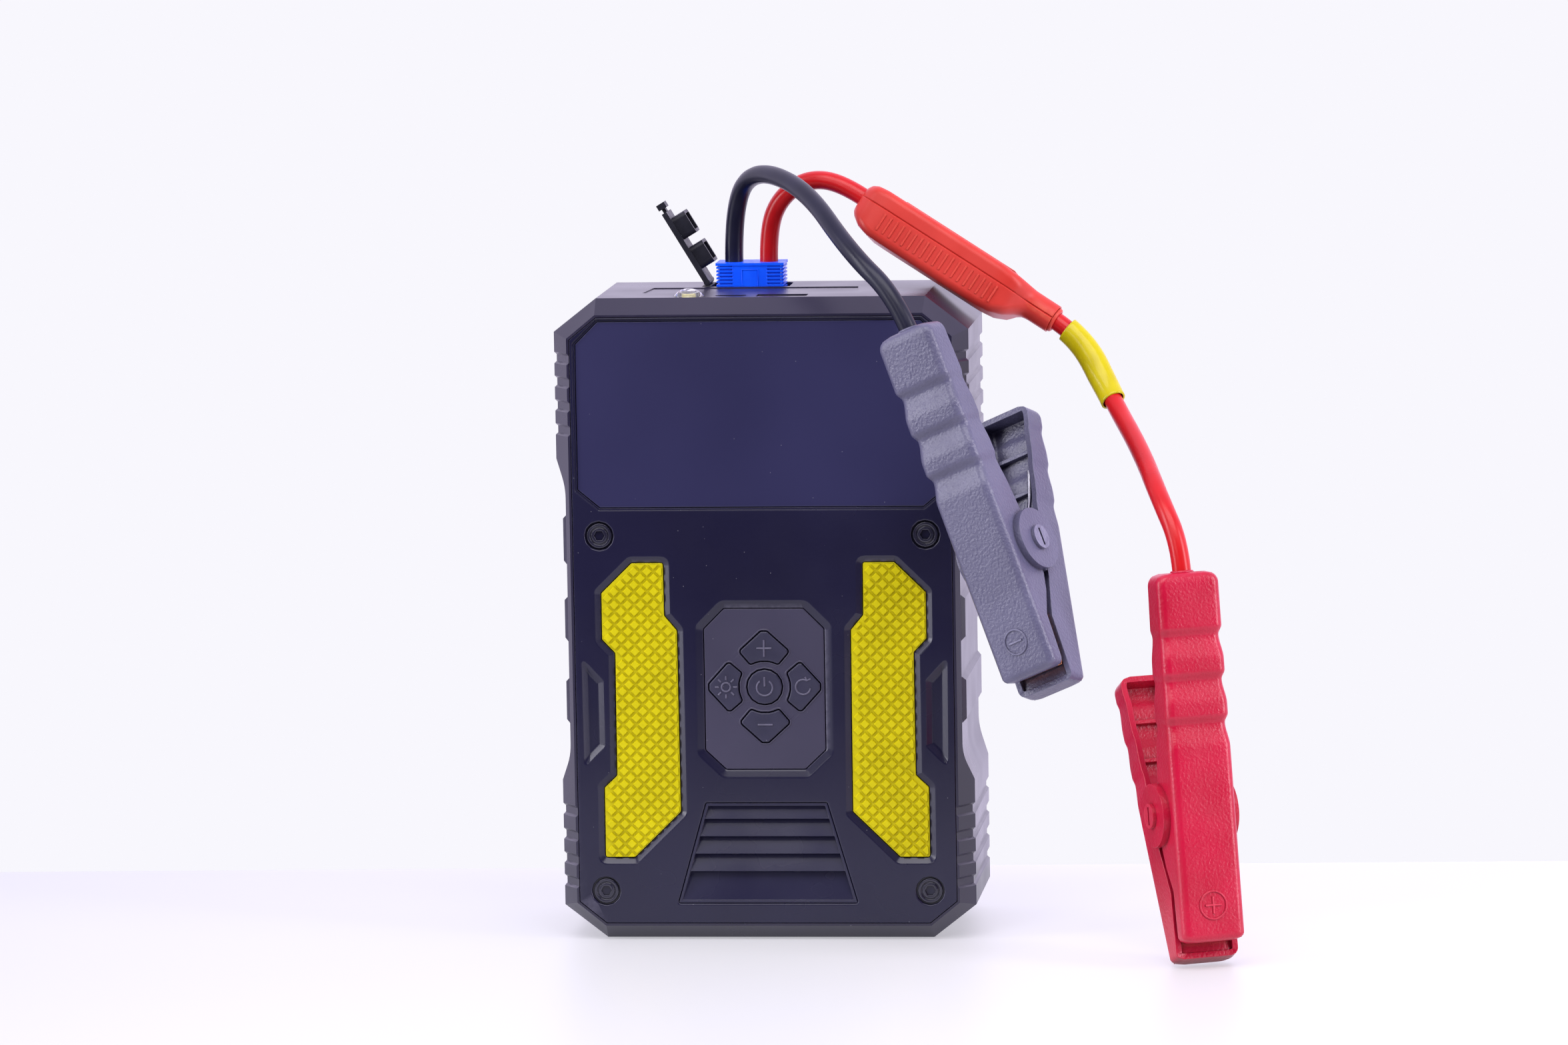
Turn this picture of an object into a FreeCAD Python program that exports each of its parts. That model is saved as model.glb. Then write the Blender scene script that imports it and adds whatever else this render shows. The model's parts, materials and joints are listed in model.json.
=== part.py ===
"""Jump starter pack with its clamp lead plugged in.

Row frame, in millimetres: X to the right, Y from the front face to the back, Z up.
The origin is the middle of the case's bottom face.
"""
import FreeCAD, Part
import math
import os

V = FreeCAD.Vector
os.makedirs("parts", exist_ok=True)

# ---------------------------------------------------------------- driving dimensions
CASE_HEIGHT = 190.0
CASE_HALF = 61.1          # half the width over the ribbed blocks
CASE_DEPTH = 63.5
WAIST_HALF = 58.0         # half the width between the blocks
FACE_HALF = 56.7          # half the width of the flat front face
BEVEL_DEPTH = 6.4         # how far back the front and rear bevels reach
BEVEL_RISE = 4.4          # the bevel's height at the top and the bottom
CORNER_HALF = 48.5        # half width where the 45 degree corners start
CORNER_DROP = 9.8         # how far down the corners reach on the side
FACE_CORNER_HALF = 48.2
FACE_CORNER_DROP = 11.3   # from the case's top to the face's upper side corner
COVER_THICK = 3.0         # the front cover plate
LIP = 0.7                 # lip of the housing round the cover
GAP = 0.15                # fitting gap round a plate that drops into a recess
WALL = 3.0
FRONT = -CASE_DEPTH / 2
REAR = CASE_DEPTH / 2

GROOVE_ROWS = (17.2, 24.0, 31.1, 38.5, 151.5, 158.6, 165.6, 172.6)
GROOVE_MOUTH = 3.4
GROOVE_FLOOR = 2.0
GROOVE_DEPTH = 0.75
WAIST_LOW = 58.4          # waist wall from here
WAIST_HIGH = 131.5        # to here, then it flares out to the blocks
FLARE_ARC_RISE = 6.1
FLARE_ARC_RUN = 1.13
BAR_SPANS = ((64.3, 78.0), (88.6, 102.2), (111.5, 126.4))
BAR_PROUD = 1.2

SCREW_PLACES = ((-48.1, 120.4), (48.1, 120.4), (-48.0, 14.8), (48.0, 14.8))
BUTTON_CENTRE = 75.4      # height of the power button
BUTTON_TRAVEL = 0.8

SOCKET_X = -6.7           # centre of the power socket in the top face
SOCKET_Y = 15.75
PLUG_TOP = CASE_HEIGHT + 6.9
WIRE_R = 2.75
WIRE_SPACING = 10.4

CLAMP_OPEN = 20.7         # angle between the clamp's two halves when its jaws are shut
CLAMP_HALF_WIDTH = 9.6
CLAMP_WALL = 1.8
CLAMP_TAIL = 69.4         # pivot to the end of the cable half's handle
CLAMP_NOSE = 37.0         # pivot to the tip of the cable half's jaw
PIN_R = 2.0

BLACK_PIVOT = V(74.2, -60.25, 118.9)
BLACK_ALONG = V(0.35, -0.18, -0.92)     # from the tail to the jaw tip
BLACK_PIN = V(0.83, -0.40, 0.39)        # along the pivot pin
RED_PIVOT = V(126.6, -67.2, 43.5)
RED_ALONG = V(0.07, -0.12, -0.99)
RED_PIN = V(0.91, 0.42, 0.02)

MODULE_CENTRE = V(56.5, 1.5, 198.4)
MODULE_ALONG = V(0.84, -0.15, -0.53)
MODULE_ACROSS = V(0.03, 0.98, -0.22)
MODULE_BODY = 57.0
MODULE_TAIL = 10.0
MODULE_WIDTH = 21.0
MODULE_LOW = 9.4          # from the seam down
MODULE_HIGH = 5.3         # from the seam up

# ---------------------------------------------------------------- outlines in the XZ plane
FACE = [(FACE_CORNER_HALF, CASE_HEIGHT - BEVEL_RISE),
        (FACE_HALF, CASE_HEIGHT - FACE_CORNER_DROP),
        (FACE_HALF, FACE_CORNER_DROP),
        (FACE_CORNER_HALF, BEVEL_RISE)]
OUTER = [(CORNER_HALF, CASE_HEIGHT),
         (CASE_HALF, CASE_HEIGHT - CORNER_DROP),
         (CASE_HALF, CORNER_DROP),
         (CORNER_HALF, 0.0)]
GLASS = [(47.9, 184.2), (54.9, 177.2), (54.9, 133.7), (48.0, 128.0)]
PANEL = [(11.7, 98.6), (17.7, 92.6), (17.7, 56.7), (11.7, 51.0)]
VENT = [(17.9, 40.9), (26.5, 11.2)]
GRIP = [(38.8, 112.2), (29.5, 112.2), (29.4, 96.6), (25.7, 92.2), (25.5, 38.3), (39.3, 24.8),
        (48.05, 24.8), (48.0, 45.5), (44.2, 49.1), (44.1, 85.6), (47.9, 89.6), (47.9, 103.3)]
CHEVRON = [(53.6, 83.1), (48.1, 77.1), (48.0, 58.0), (53.4, 52.6)]


def both_sides(points):
    """A right-hand run of points, top to bottom, closed with its mirror image."""
    return list(points) + [(-x, z) for x, z in reversed(points)]


def mirrored(points):
    return [(-x, z) for x, z in points]


def area(points):
    total = 0.0
    for (x0, z0), (x1, z1) in zip(points, points[1:] + points[:1]):
        total += x0 * z1 - x1 * z0
    return total / 2


def grown(points, distance):
    """The outline moved outward by distance (inward if it is negative), with mitred corners."""
    turn = 1.0 if area(points) > 0 else -1.0
    result = []
    for before, here, after in zip(points[-1:] + points[:-1], points, points[1:] + points[:1]):
        first = V(here[0] - before[0], 0, here[1] - before[1]).normalize()
        second = V(after[0] - here[0], 0, after[1] - here[1]).normalize()
        out_1 = V(first.z, 0, -first.x) * turn
        out_2 = V(second.z, 0, -second.x) * turn
        mitre = (out_1 + out_2) * (1.0 / (1.0 + out_1.dot(out_2)))
        result.append((here[0] + mitre.x * distance, here[1] + mitre.z * distance))
    return result


def wire_at(points, y):
    corners = [V(x, y, z) for x, z in points]
    return Part.makePolygon(corners + corners[:1])


def plate(points, y0, y1):
    """A flat plate with the given XZ outline, between two depths."""
    return Part.Face(wire_at(points, y0)).extrude(V(0, y1 - y0, 0))


def sloped(points_0, y0, points_1, y1):
    """A solid with flat sides between two outlines at two depths."""
    return Part.makeLoft([wire_at(points_0, y0), wire_at(points_1, y1)], True, True)


def box(x0, x1, y0, y1, z0, z1):
    return Part.makeBox(x1 - x0, y1 - y0, z1 - z0, V(x0, y0, z0))


def rod(start, along, radius, length):
    return Part.makeCylinder(radius, length, start, along)


def fused(shapes):
    whole = shapes[0]
    for piece in shapes[1:]:
        whole = whole.fuse(piece)
    return whole.removeSplitter()


def cut_all(shape, tools):
    for tool in tools:
        shape = shape.cut(tool)
    return shape


def save(name, shape):
    shape.exportStep("parts/" + name + ".step")
    room = shape.BoundBox
    print("%-20s solids %d valid %s z %.2f to %.2f volume %.0f" % (
        name, len(shape.Solids), shape.isValid(), room.ZMin, room.ZMax, shape.Volume))


# ---------------------------------------------------------------- the case
def case_block():
    """The whole outside of the case: straight sides between two bevels, and a narrower waist."""
    face = both_sides(FACE)
    outer = both_sides(OUTER)
    sections = [wire_at(face, FRONT), wire_at(outer, FRONT + BEVEL_DEPTH),
                wire_at(outer, REAR - BEVEL_DEPTH), wire_at(face, REAR)]
    block = Part.makeLoft(sections, True, True)
    for side in (-1, 1):
        block = block.cut(waist_cutter(side))
    return block


def waist_cutter(side):
    """What the waist takes off one side: straight, then an arc and a slope out to each block."""
    slope = math.tan(2 * math.atan2(FLARE_ARC_RUN, FLARE_ARC_RISE))
    reach = CASE_HALF + 1.0
    arc_x = WAIST_HALF + FLARE_ARC_RUN
    slope_rise = (reach - arc_x) / slope
    mid_x = WAIST_HALF + FLARE_ARC_RUN * 0.26
    edges = []
    corners = []
    for level, way in ((WAIST_LOW, -1), (WAIST_HIGH, 1)):
        start = V(side * WAIST_HALF, FRONT - 1, level)
        middle = V(side * mid_x, FRONT - 1, level + way * FLARE_ARC_RISE * 0.51)
        end = V(side * arc_x, FRONT - 1, level + way * FLARE_ARC_RISE)
        tip = V(side * reach, FRONT - 1, end.z + way * slope_rise)
        far = V(side * (reach + 5), FRONT - 1, tip.z)
        edges.append(Part.Arc(start, middle, end).toShape())
        edges.append(Part.makeLine(end, tip))
        edges.append(Part.makeLine(tip, far))
        corners.append((start, far))
    edges.append(Part.makeLine(corners[0][0], corners[1][0]))
    edges.append(Part.makeLine(corners[0][1], corners[1][1]))
    outline = Part.Wire(Part.__sortEdges__(edges))
    return Part.Face(outline).extrude(V(0, CASE_DEPTH + 2, 0))


def groove_cutter(side, level):
    """One groove along a block's side that also runs over both bevels."""
    bevel_run = CASE_HALF - FACE_HALF
    stations = ((FACE_HALF - bevel_run * 0.1, FRONT - BEVEL_DEPTH * 0.1),
                (CASE_HALF, FRONT + BEVEL_DEPTH),
                (CASE_HALF, REAR - BEVEL_DEPTH),
                (FACE_HALF - bevel_run * 0.1, REAR + BEVEL_DEPTH * 0.1))
    spread = (GROOVE_MOUTH - GROOVE_FLOOR) / 2 / GROOVE_DEPTH
    sections = []
    for x, y in stations:
        corners = []
        for depth in (-1.0, GROOVE_DEPTH):
            half = GROOVE_FLOOR / 2 + (GROOVE_DEPTH - depth) * spread
            for way in ((-1, 1) if depth < 0 else (1, -1)):
                corners.append(V(side * (x - depth), y, level + way * half))
        sections.append(Part.makePolygon(corners + corners[:1]))
    return Part.makeLoft(sections, True, True)


def waist_bar(side, low, high):
    """A raised bar on the waist with sloped ends and edges."""
    y0 = FRONT + 3.0
    y1 = REAR - 3.0
    sections = []
    for x, inset in ((WAIST_HALF - 0.5, -0.5), (WAIST_HALF + BAR_PROUD, BAR_PROUD)):
        corners = [V(side * x, y0 + inset, low + inset), V(side * x, y1 - inset, low + inset),
                   V(side * x, y1 - inset, high - inset), V(side * x, y0 + inset, high - inset)]
        sections.append(Part.makePolygon(corners + corners[:1]))
    return Part.makeLoft(sections, True, True)


COVER_BACK = FRONT + COVER_THICK
CAVITY = grown(both_sides(FACE), -1.7)
STRIP = [(-36.5, -10.3), (27.5, -10.3), (26.0, 6.2), (-35.0, 6.2)]
WELL = [(-21.0, 9.0), (-21.0, 22.5), (4.0, 22.5), (5.2, 21.0), (5.2, 9.0)]
USB_A = (5.95, -19.75, 14.6, 6.2)       # centre x, centre y, width, depth in Y
USB_C = (-9.15, -20.25, 9.0, 3.2)
TORCH = (-21.5, -20.6)
TORCH_R = 4.45
LED_R = 2.2
SHELF_Z = 62.0
MOTOR_Z = 34.0
MOTOR_R = 14.0
BOSS_R = 3.4
SCREW_R = 1.5


def top_prism(points, z0, z1):
    """A prism over an XY outline."""
    corners = [V(x, y, z0) for x, y in points]
    return Part.Face(Part.makePolygon(corners + corners[:1])).extrude(V(0, 0, z1 - z0))


def slot(centre_x, centre_y, width, depth, z0, z1, grow=0.0):
    """A slot with round ends, seen from above."""
    radius = depth / 2 + grow
    half = width / 2 - depth / 2
    body = box(centre_x - half, centre_x + half, centre_y - radius, centre_y + radius, z0, z1)
    ends = [rod(V(centre_x + way * half, centre_y, z0), V(0, 0, 1), radius, z1 - z0)
            for way in (-1, 1)]
    return fused([body] + ends)


def rectangle(centre_x, centre_y, width, depth, z0, z1, grow=0.0):
    return box(centre_x - width / 2 - grow, centre_x + width / 2 + grow,
               centre_y - depth / 2 - grow, centre_y + depth / 2 + grow, z0, z1)


def housing():
    """The tub of the case: sides, top, bottom and back, with inner shelf, bosses and saddle."""
    shell = case_block()
    shell = cut_all(shell, [groove_cutter(side, level)
                            for side in (-1, 1) for level in GROOVE_ROWS])
    shell = fused([shell] + [waist_bar(side, low, high)
                             for side in (-1, 1) for low, high in BAR_SPANS])
    recess = grown(both_sides(FACE), -LIP)
    shell = shell.cut(plate(recess, FRONT - 1, COVER_BACK))
    shell = shell.cut(plate(CAVITY, COVER_BACK - 1, REAR - WALL))
    bosses = [rod(V(x, COVER_BACK, z), V(0, 1, 0), BOSS_R, REAR - 1 - COVER_BACK)
              for x, z in SCREW_PLACES]
    shelf = box(-56, 56, -12, REAR - 1, SHELF_Z - 2, SHELF_Z)
    saddle = box(-22, 22, 14, REAR - 1, MOTOR_Z - 10, MOTOR_Z + 10)
    saddle = saddle.cut(rod(V(-30, 4, MOTOR_Z), V(1, 0, 0), MOTOR_R, 60))
    shell = fused([shell, shelf, saddle] + bosses)
    top = CASE_HEIGHT
    tools = [rod(V(x, COVER_BACK - 1, z), V(0, 1, 0), SCREW_R + 0.05, 14) for x, z in SCREW_PLACES]
    tools.append(top_prism(STRIP, top - 0.3, top + 1))
    tools.append(top_prism(WELL, top - 9, top + 1))
    tools.append(rectangle(*USB_A, top - 9, top + 1, GAP))
    tools.append(slot(*USB_C, top - 9, top + 1, GAP))
    tools.append(rod(V(TORCH[0], TORCH[1], top - 0.8), V(0, 0, 1), TORCH_R + GAP, 2))
    tools.append(rod(V(TORCH[0], TORCH[1], top - 9), V(0, 0, 1), LED_R + 0.05, 10))
    return cut_all(shell, tools)


def inset(depth):
    """Depth below the front face, as a Y value."""
    return FRONT + depth


def front_cover():
    """The flat front plate with its display recess, grip pockets, panel pocket and vent."""
    body = plate(grown(both_sides(FACE), -LIP - GAP), FRONT, COVER_BACK)
    glass = both_sides(GLASS)
    panel = both_sides(PANEL)
    tools = [sloped(grown(glass, 1.6), inset(-0.4), grown(glass, 0.4), inset(0.8)),
             plate(grown(glass, GAP), inset(0.5), inset(2.4)),
             plate(grown(glass, -4.0), inset(2), inset(4)),
             sloped(grown(panel, 2.5), inset(-0.4), grown(panel, 0.3), inset(0.9)),
             plate(grown(panel, GAP), inset(0.6), inset(2.5)),
             plate(grown(panel, -0.4), inset(2), inset(4)),
             plate(grown(both_sides(VENT), GAP), inset(-1), inset(4))]
    for outline in (GRIP, mirrored(GRIP)):
        tools.append(sloped(grown(outline, 2.0), inset(-0.4), grown(outline, 0.3), inset(1.0)))
        tools.append(plate(grown(outline, GAP), inset(0.8), inset(2.2)))
    for outline in (CHEVRON, mirrored(CHEVRON)):
        tools.append(sloped(grown(outline, 0.5), inset(-0.4), grown(outline, -1.5), inset(1.2)))
    for x, z in SCREW_PLACES:
        tools.append(rod(V(x, inset(-1), z), V(0, 1, 0), 4.3, 2.2))
        tools.append(rod(V(x, inset(0), z), V(0, 1, 0), SCREW_R + 0.1, 4))
    return cut_all(body, tools)


def display_glass():
    return plate(both_sides(GLASS), inset(0.8), inset(2.3))


def display_module():
    """The screen unit behind the glass: a thin panel on a tray."""
    screen = box(-48, 48, inset(2.6), inset(4.6), 134, 178)
    tray = box(-49.5, 49.5, inset(4.6), inset(6.2), 132.5, 179.5)
    return fused([screen, tray])


STUD_PITCH = 3.95
STUD_HALF = 1.4           # half the diagonal of a stud at its foot
STUD_TOP = 0.72           # a stud's top against its foot


def grip_pad(outline):
    """A rubber pad with square studs set corner up."""
    base = plate(outline, inset(0.9), inset(2.1))
    studs = []
    inner = grown(outline, -0.3)
    field = plate(inner, inset(0.2), inset(0.9))
    xs = [x for x, z in outline]
    zs = [z for x, z in outline]
    rows = int((max(zs) - min(zs)) / (STUD_PITCH / 2)) + 2
    columns = int((max(xs) - min(xs)) / STUD_PITCH) + 2
    for row in range(rows):
        z = min(zs) + row * STUD_PITCH / 2
        for column in range(columns):
            x = min(xs) + (column + 0.5 * (row % 2)) * STUD_PITCH
            diamond = [(x - STUD_HALF, z), (x, z + STUD_HALF), (x + STUD_HALF, z), (x, z - STUD_HALF)]
            top = [(x + (px - x) * STUD_TOP, z + (pz - z) * STUD_TOP) for px, pz in diamond]
            studs.append(sloped(top, inset(0.3), diamond, inset(0.95)))
    return fused([base, field.common(Part.makeCompound(studs))])


def arrow_button(turn, grow=0.0):
    """Outline of an arrow-shaped key, hollowed on the side that faces the power button."""
    half = [(0.9, 16.4), (6.95, 10.9), (6.95, 10.1), (4.1, 7.0), (2.1, 7.5)]
    points = grown(half + [(0.0, 7.7)] + [(-x, z) for x, z in reversed(half)], grow)
    angle = math.radians(turn)
    return [(x * math.cos(angle) - z * math.sin(angle),
             x * math.sin(angle) + z * math.cos(angle) + BUTTON_CENTRE) for x, z in points]


KEYS = {"button_plus": 0, "button_light": 90, "button_minus": 180, "button_mode": 270}
KEY_GAP = 0.3


def button_panel():
    body = plate(both_sides(PANEL), inset(0.9), inset(2.4))
    tools = [plate(arrow_button(turn, KEY_GAP), inset(0), inset(4)) for turn in KEYS.values()]
    tools.append(rod(V(0, inset(0), BUTTON_CENTRE), V(0, 1, 0), 5.15 + KEY_GAP, 4))
    return cut_all(body, tools)


def arrow_key(turn):
    """A key cap with a flange behind the panel that keeps it in."""
    cap = plate(arrow_button(turn), inset(0.55), inset(2.7))
    flange = plate(arrow_button(turn, 0.6), inset(2.65), inset(3.3))
    return fused([cap, flange])


def power_key():
    cap = rod(V(0, inset(0.55), BUTTON_CENTRE), V(0, 1, 0), 5.15, 2.15)
    flange = rod(V(0, inset(2.65), BUTTON_CENTRE), V(0, 1, 0), 5.85, 0.65)
    return fused([cap, flange])


def control_board():
    """The circuit board behind the keys, with a switch dome under each."""
    board = box(-19, 19, inset(5.2), inset(6.8), 50, 101)
    domes = [rod(V(0, inset(4.3), BUTTON_CENTRE), V(0, 1, 0), 2.5, 1.0)]
    for turn in KEYS.values():
        angle = math.radians(turn)
        place = V(-11 * math.sin(angle), inset(4.3), BUTTON_CENTRE + 11 * math.cos(angle))
        domes.append(rod(place, V(0, 1, 0), 2.5, 1.0))
    return fused([board] + domes)


def vent_grille():
    """Overlapping slats in the trapezoid opening, each sloping out towards its lower edge."""
    outline = both_sides(VENT)
    frame = plate(outline, inset(0.3), inset(4.0)).cut(
        plate(grown(outline, -0.8), inset(-1), inset(5)))
    back = 4.0
    edges = (40.9, 35.7, 30.5, 25.3, 20.1, 11.2)
    slats = []
    for high, low in zip(edges[:-1], edges[1:]):
        section = [V(-30, inset(2.6), high + 0.3), V(-30, inset(back), high + 0.3),
                   V(-30, inset(back), high - 1.2), V(-30, inset(1.6), low + 0.5),
                   V(-30, inset(0.5), low + 0.5)]
        slat = Part.Face(Part.makePolygon(section + section[:1])).extrude(V(60, 0, 0))
        slats.append(slat.common(plate(outline, inset(0.3), inset(back))))
    spine = plate([(-0.5, 40.5), (0.5, 40.5), (0.5, 11.5), (-0.5, 11.5)], inset(3.0), inset(back))
    return fused([frame, spine] + slats)


def corner_screw(x, z):
    """A cover screw: dished head with a raised rim and a hexagon socket."""
    head = rod(V(x, inset(0.1), z), V(0, 1, 0), 4.15, 1.1)
    dish = rod(V(x, inset(-1), z), V(0, 1, 0), 3.1, 1.7).cut(
        rod(V(x, inset(-1), z), V(0, 1, 0), 2.45, 1.7))
    hexagon = [(x + 1.6 * math.cos(math.radians(60 * k)), z + 1.6 * math.sin(math.radians(60 * k)))
               for k in range(6)]
    head = head.cut(dish).cut(plate(hexagon, inset(-1), inset(0.9)))
    return fused([head, rod(V(x, inset(1.1), z), V(0, 1, 0), SCREW_R, 12)])


# ---------------------------------------------------------------- what sits in the top face
def usb_a_port():
    """A port insert with its tongue."""
    top = CASE_HEIGHT - 0.4
    x, y, width, depth = USB_A
    body = rectangle(x, y, width, depth, top - 14, top)
    body = body.cut(rectangle(x, y, 12.6, 4.8, top - 12.5, top + 1))
    return fused([body, rectangle(x, y + 1.1, 11.2, 1.6, top - 13, top - 1.5)])


def usb_c_port():
    top = CASE_HEIGHT - 0.4
    x, y, width, depth = USB_C
    body = slot(x, y, width, depth, top - 10, top)
    body = body.cut(slot(x, y, width - 0.7, depth - 0.7, top - 9, top + 1))
    return fused([body, rectangle(x, y, 6.2, 0.7, top - 9.5, top - 1.0)])


def torch_lens():
    """A clear domed lens on a flange."""
    height = 2.3
    radius = (TORCH_R ** 2 + height ** 2) / (2 * height)
    ball = Part.makeSphere(radius, V(TORCH[0], TORCH[1], CASE_HEIGHT + height - radius))
    dome = ball.common(rod(V(TORCH[0], TORCH[1], CASE_HEIGHT - 0.05), V(0, 0, 1), 10, 9))
    flange = rod(V(TORCH[0], TORCH[1], CASE_HEIGHT - 0.75), V(0, 0, 1), TORCH_R, 0.75)
    hollow = rod(V(TORCH[0], TORCH[1], CASE_HEIGHT - 1), V(0, 0, 1), 2.6, 1.6)
    return fused([dome, flange]).cut(hollow)


def torch_led():
    return rod(V(TORCH[0], TORCH[1], CASE_HEIGHT - 6.5), V(0, 0, 1), LED_R, 6.6)


NOSE_X = 16.4             # the part of the plug that goes into the socket
NOSE_Y = 8.4
NOSE_LOW = CASE_HEIGHT - 14.0
SHOULDER = CASE_HEIGHT - 1.7
CONTACT_R = 2.2


def contact_places():
    return [SOCKET_X - WIRE_SPACING / 2, SOCKET_X + WIRE_SPACING / 2]


def socket_block():
    """The power socket: a block in the top face's well with one cavity for the plug's nose."""
    well = grown(WELL, -GAP)
    body = top_prism(well, CASE_HEIGHT - 20, SHOULDER)
    cap_root = rectangle(CAP_HINGE.x, SOCKET_Y, 2.5, 2 * CAP_HALF,
                         SHOULDER - 0.1, CAP_HINGE.z - CAP_ROOT_DROP)
    seat = rod(CAP_HINGE - V(0, 10, 0), V(0, 1, 0), CAP_KNUCKLE_R + 0.06, 20)
    body = fused([body, cap_root.cut(seat)])
    body = body.cut(rectangle(SOCKET_X, SOCKET_Y, NOSE_X, NOSE_Y,
                              NOSE_LOW - 0.5, CASE_HEIGHT, 0.2))
    bores = [rod(V(x, SOCKET_Y, CASE_HEIGHT - 21), V(0, 0, 1), CONTACT_R, 8)
             for x in contact_places()]
    return cut_all(body, bores)


def socket_contact(x):
    pin = rod(V(x, SOCKET_Y, CASE_HEIGHT - 24), V(0, 0, 1), CONTACT_R, 18)
    return pin.makeChamfer(0.6, [pin.Edges[0]])


CAP_HINGE = V(-19.6, SOCKET_Y, CASE_HEIGHT + 1.1)
CAP_KNUCKLE_R = 0.95
CAP_ROOT_DROP = 0.9       # the root stops this far under the hinge, so the cap can lie open
CAP_LEAN = 31.0           # how far the open cap leans to the left of upright
CAP_LENGTH = 24.2
CAP_HALF = 5.6
CAP_THICK = 1.6


def socket_cap():
    """The rubber cap of the socket, open: a strap with two hollow bosses and a pull tab.

    It is drawn upright at the origin, then leant over and moved to its hinge.
    """
    half = CAP_THICK / 2
    knuckle = rod(V(0, -CAP_HALF, 0), V(0, 1, 0), CAP_KNUCKLE_R, 2 * CAP_HALF)
    strap = box(-half, half, -CAP_HALF, CAP_HALF, 0, CAP_LENGTH)
    tab = box(-0.6, 0.5, -1.5, 1.5, CAP_LENGTH - 0.1, CAP_LENGTH + 3.0)
    knob = box(-1.4, 1.3, -2.4, 2.4, CAP_LENGTH + 1.2, CAP_LENGTH + 3.0)
    pieces = [knuckle, strap, tab, knob]
    for low in (4.2, 14.4):
        boss = box(half - 0.1, 5.2, -4.6, 4.6, low, low + 7.4)
        boss = boss.makeFillet(1.4, [edge for edge in boss.Edges
                                     if abs(edge.tangentAt(edge.FirstParameter).x) > 0.9])
        pieces.append(boss.cut(box(half + 0.8, 7.0, -3.6, 3.6, low + 1.0, low + 6.4)))
    whole = fused(pieces)
    whole.rotate(V(0, 0, 0), V(0, 1, 0), -CAP_LEAN)
    whole.translate(CAP_HINGE)
    return whole


# ---------------------------------------------------------------- inside the case
CELL = (86.0, 11.4, 103.0)              # width, depth, height


def battery_cell(index):
    y = -7.5 + index * (CELL[1] + 0.6)
    return box(-CELL[0] / 2, CELL[0] / 2, y, y + CELL[1], SHELF_Z, SHELF_Z + CELL[2])


def compressor_motor():
    can = rod(V(-20, 4, MOTOR_Z), V(1, 0, 0), MOTOR_R, 42)
    nose = rod(V(21, 4, MOTOR_Z), V(1, 0, 0), 5, 6)
    return fused([can, nose])


def compressor_head():
    """The pump block on the motor's nose, with cooling fins round its cylinder."""
    block = box(27, 45, -8, 16, MOTOR_Z - 16, MOTOR_Z + 6)
    cylinder = rod(V(36, 4, MOTOR_Z + 5), V(0, 0, 1), 7, 16)
    fins = [rod(V(36, 4, MOTOR_Z + 8 + 3 * k), V(0, 0, 1), 9, 1.2) for k in range(4)]
    return fused([block, cylinder] + fins)


# ---------------------------------------------------------------- the clamp lead
def plug_shell():
    """The lead's plug: ribbed at both ends, with a top flange and a nose in the socket."""
    low = SHOULDER
    high = PLUG_TOP
    body = rectangle(SOCKET_X, SOCKET_Y, 18.2, 10.4, low, high - 0.6)
    pieces = [body]
    for k in range(7):
        level = low + 0.6 + k * 1.05
        rib = rectangle(SOCKET_X, SOCKET_Y, 20.0, 11.8, level, level + 0.55)
        pieces.append(rib.cut(rectangle(SOCKET_X, SOCKET_Y, 10.0, 14.0, level - 1, level + 2)))
    pieces.append(rectangle(SOCKET_X, SOCKET_Y, 10.4, 11.6, low, high - 0.8))
    pieces.append(rectangle(SOCKET_X, SOCKET_Y, 20.4, 12.2, high - 0.8, high))
    pieces.append(rectangle(SOCKET_X, SOCKET_Y, NOSE_X, NOSE_Y, NOSE_LOW, low + 0.1))
    whole = fused(pieces)
    bores = [rod(V(x, SOCKET_Y, NOSE_LOW - 1), V(0, 0, 1), CONTACT_R + 0.08, 9.5)
             for x in contact_places()]
    return cut_all(whole, bores)


def tube(route, radius, name):
    """A round cord along a route: straight runs joined by tangent arcs."""
    edges = []
    last = route[0]
    radii = []
    for before, here, after in zip(route[:-2], route[1:-1], route[2:]):
        into = here - before
        out = after - here
        turn = into.getAngle(out)
        reach = 0.45 * min(into.Length, out.Length)
        radii.append(reach / math.tan(turn / 2))
        into.normalize()
        out.normalize()
        start = here - into * reach
        end = here + out * reach
        bisector = (out - into).normalize()
        middle = here + bisector * (radii[-1] / math.cos(turn / 2) - radii[-1])
        edges.append(Part.makeLine(last, start))
        edges.append(Part.Arc(start, middle, end).toShape())
        last = end
    edges.append(Part.makeLine(last, route[-1]))
    spine = Part.Wire(edges)
    first = (route[1] - route[0]).normalize()
    ring = Part.Wire(Part.makeCircle(radius, route[0], first))
    solid = spine.makePipeShell([ring], True, False)
    expected = math.pi * radius ** 2 * spine.Length
    print("%s length %.1f volume ratio %.4f radii %s" % (
        name, spine.Length, solid.Volume / expected, " ".join("%.1f" % r for r in radii)))
    return solid


def frame_of(origin, along, pin):
    """Placement whose X runs along a clamp, Y along its pin and Z out of its cable half."""
    x_axis = V(along).normalize()
    y_axis = (pin - x_axis * pin.dot(x_axis)).normalize()
    z_axis = x_axis.cross(y_axis)
    matrix = FreeCAD.Matrix(x_axis.x, y_axis.x, z_axis.x, origin.x,
                            x_axis.y, y_axis.y, z_axis.y, origin.y,
                            x_axis.z, y_axis.z, z_axis.z, origin.z,
                            0, 0, 0, 1)
    return FreeCAD.Placement(matrix)


def put(shape, placement):
    """A copy of the shape moved from a piece's own frame to the row frame."""
    moved = shape.copy()
    moved.Placement = placement.multiply(shape.Placement)
    return moved


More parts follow.
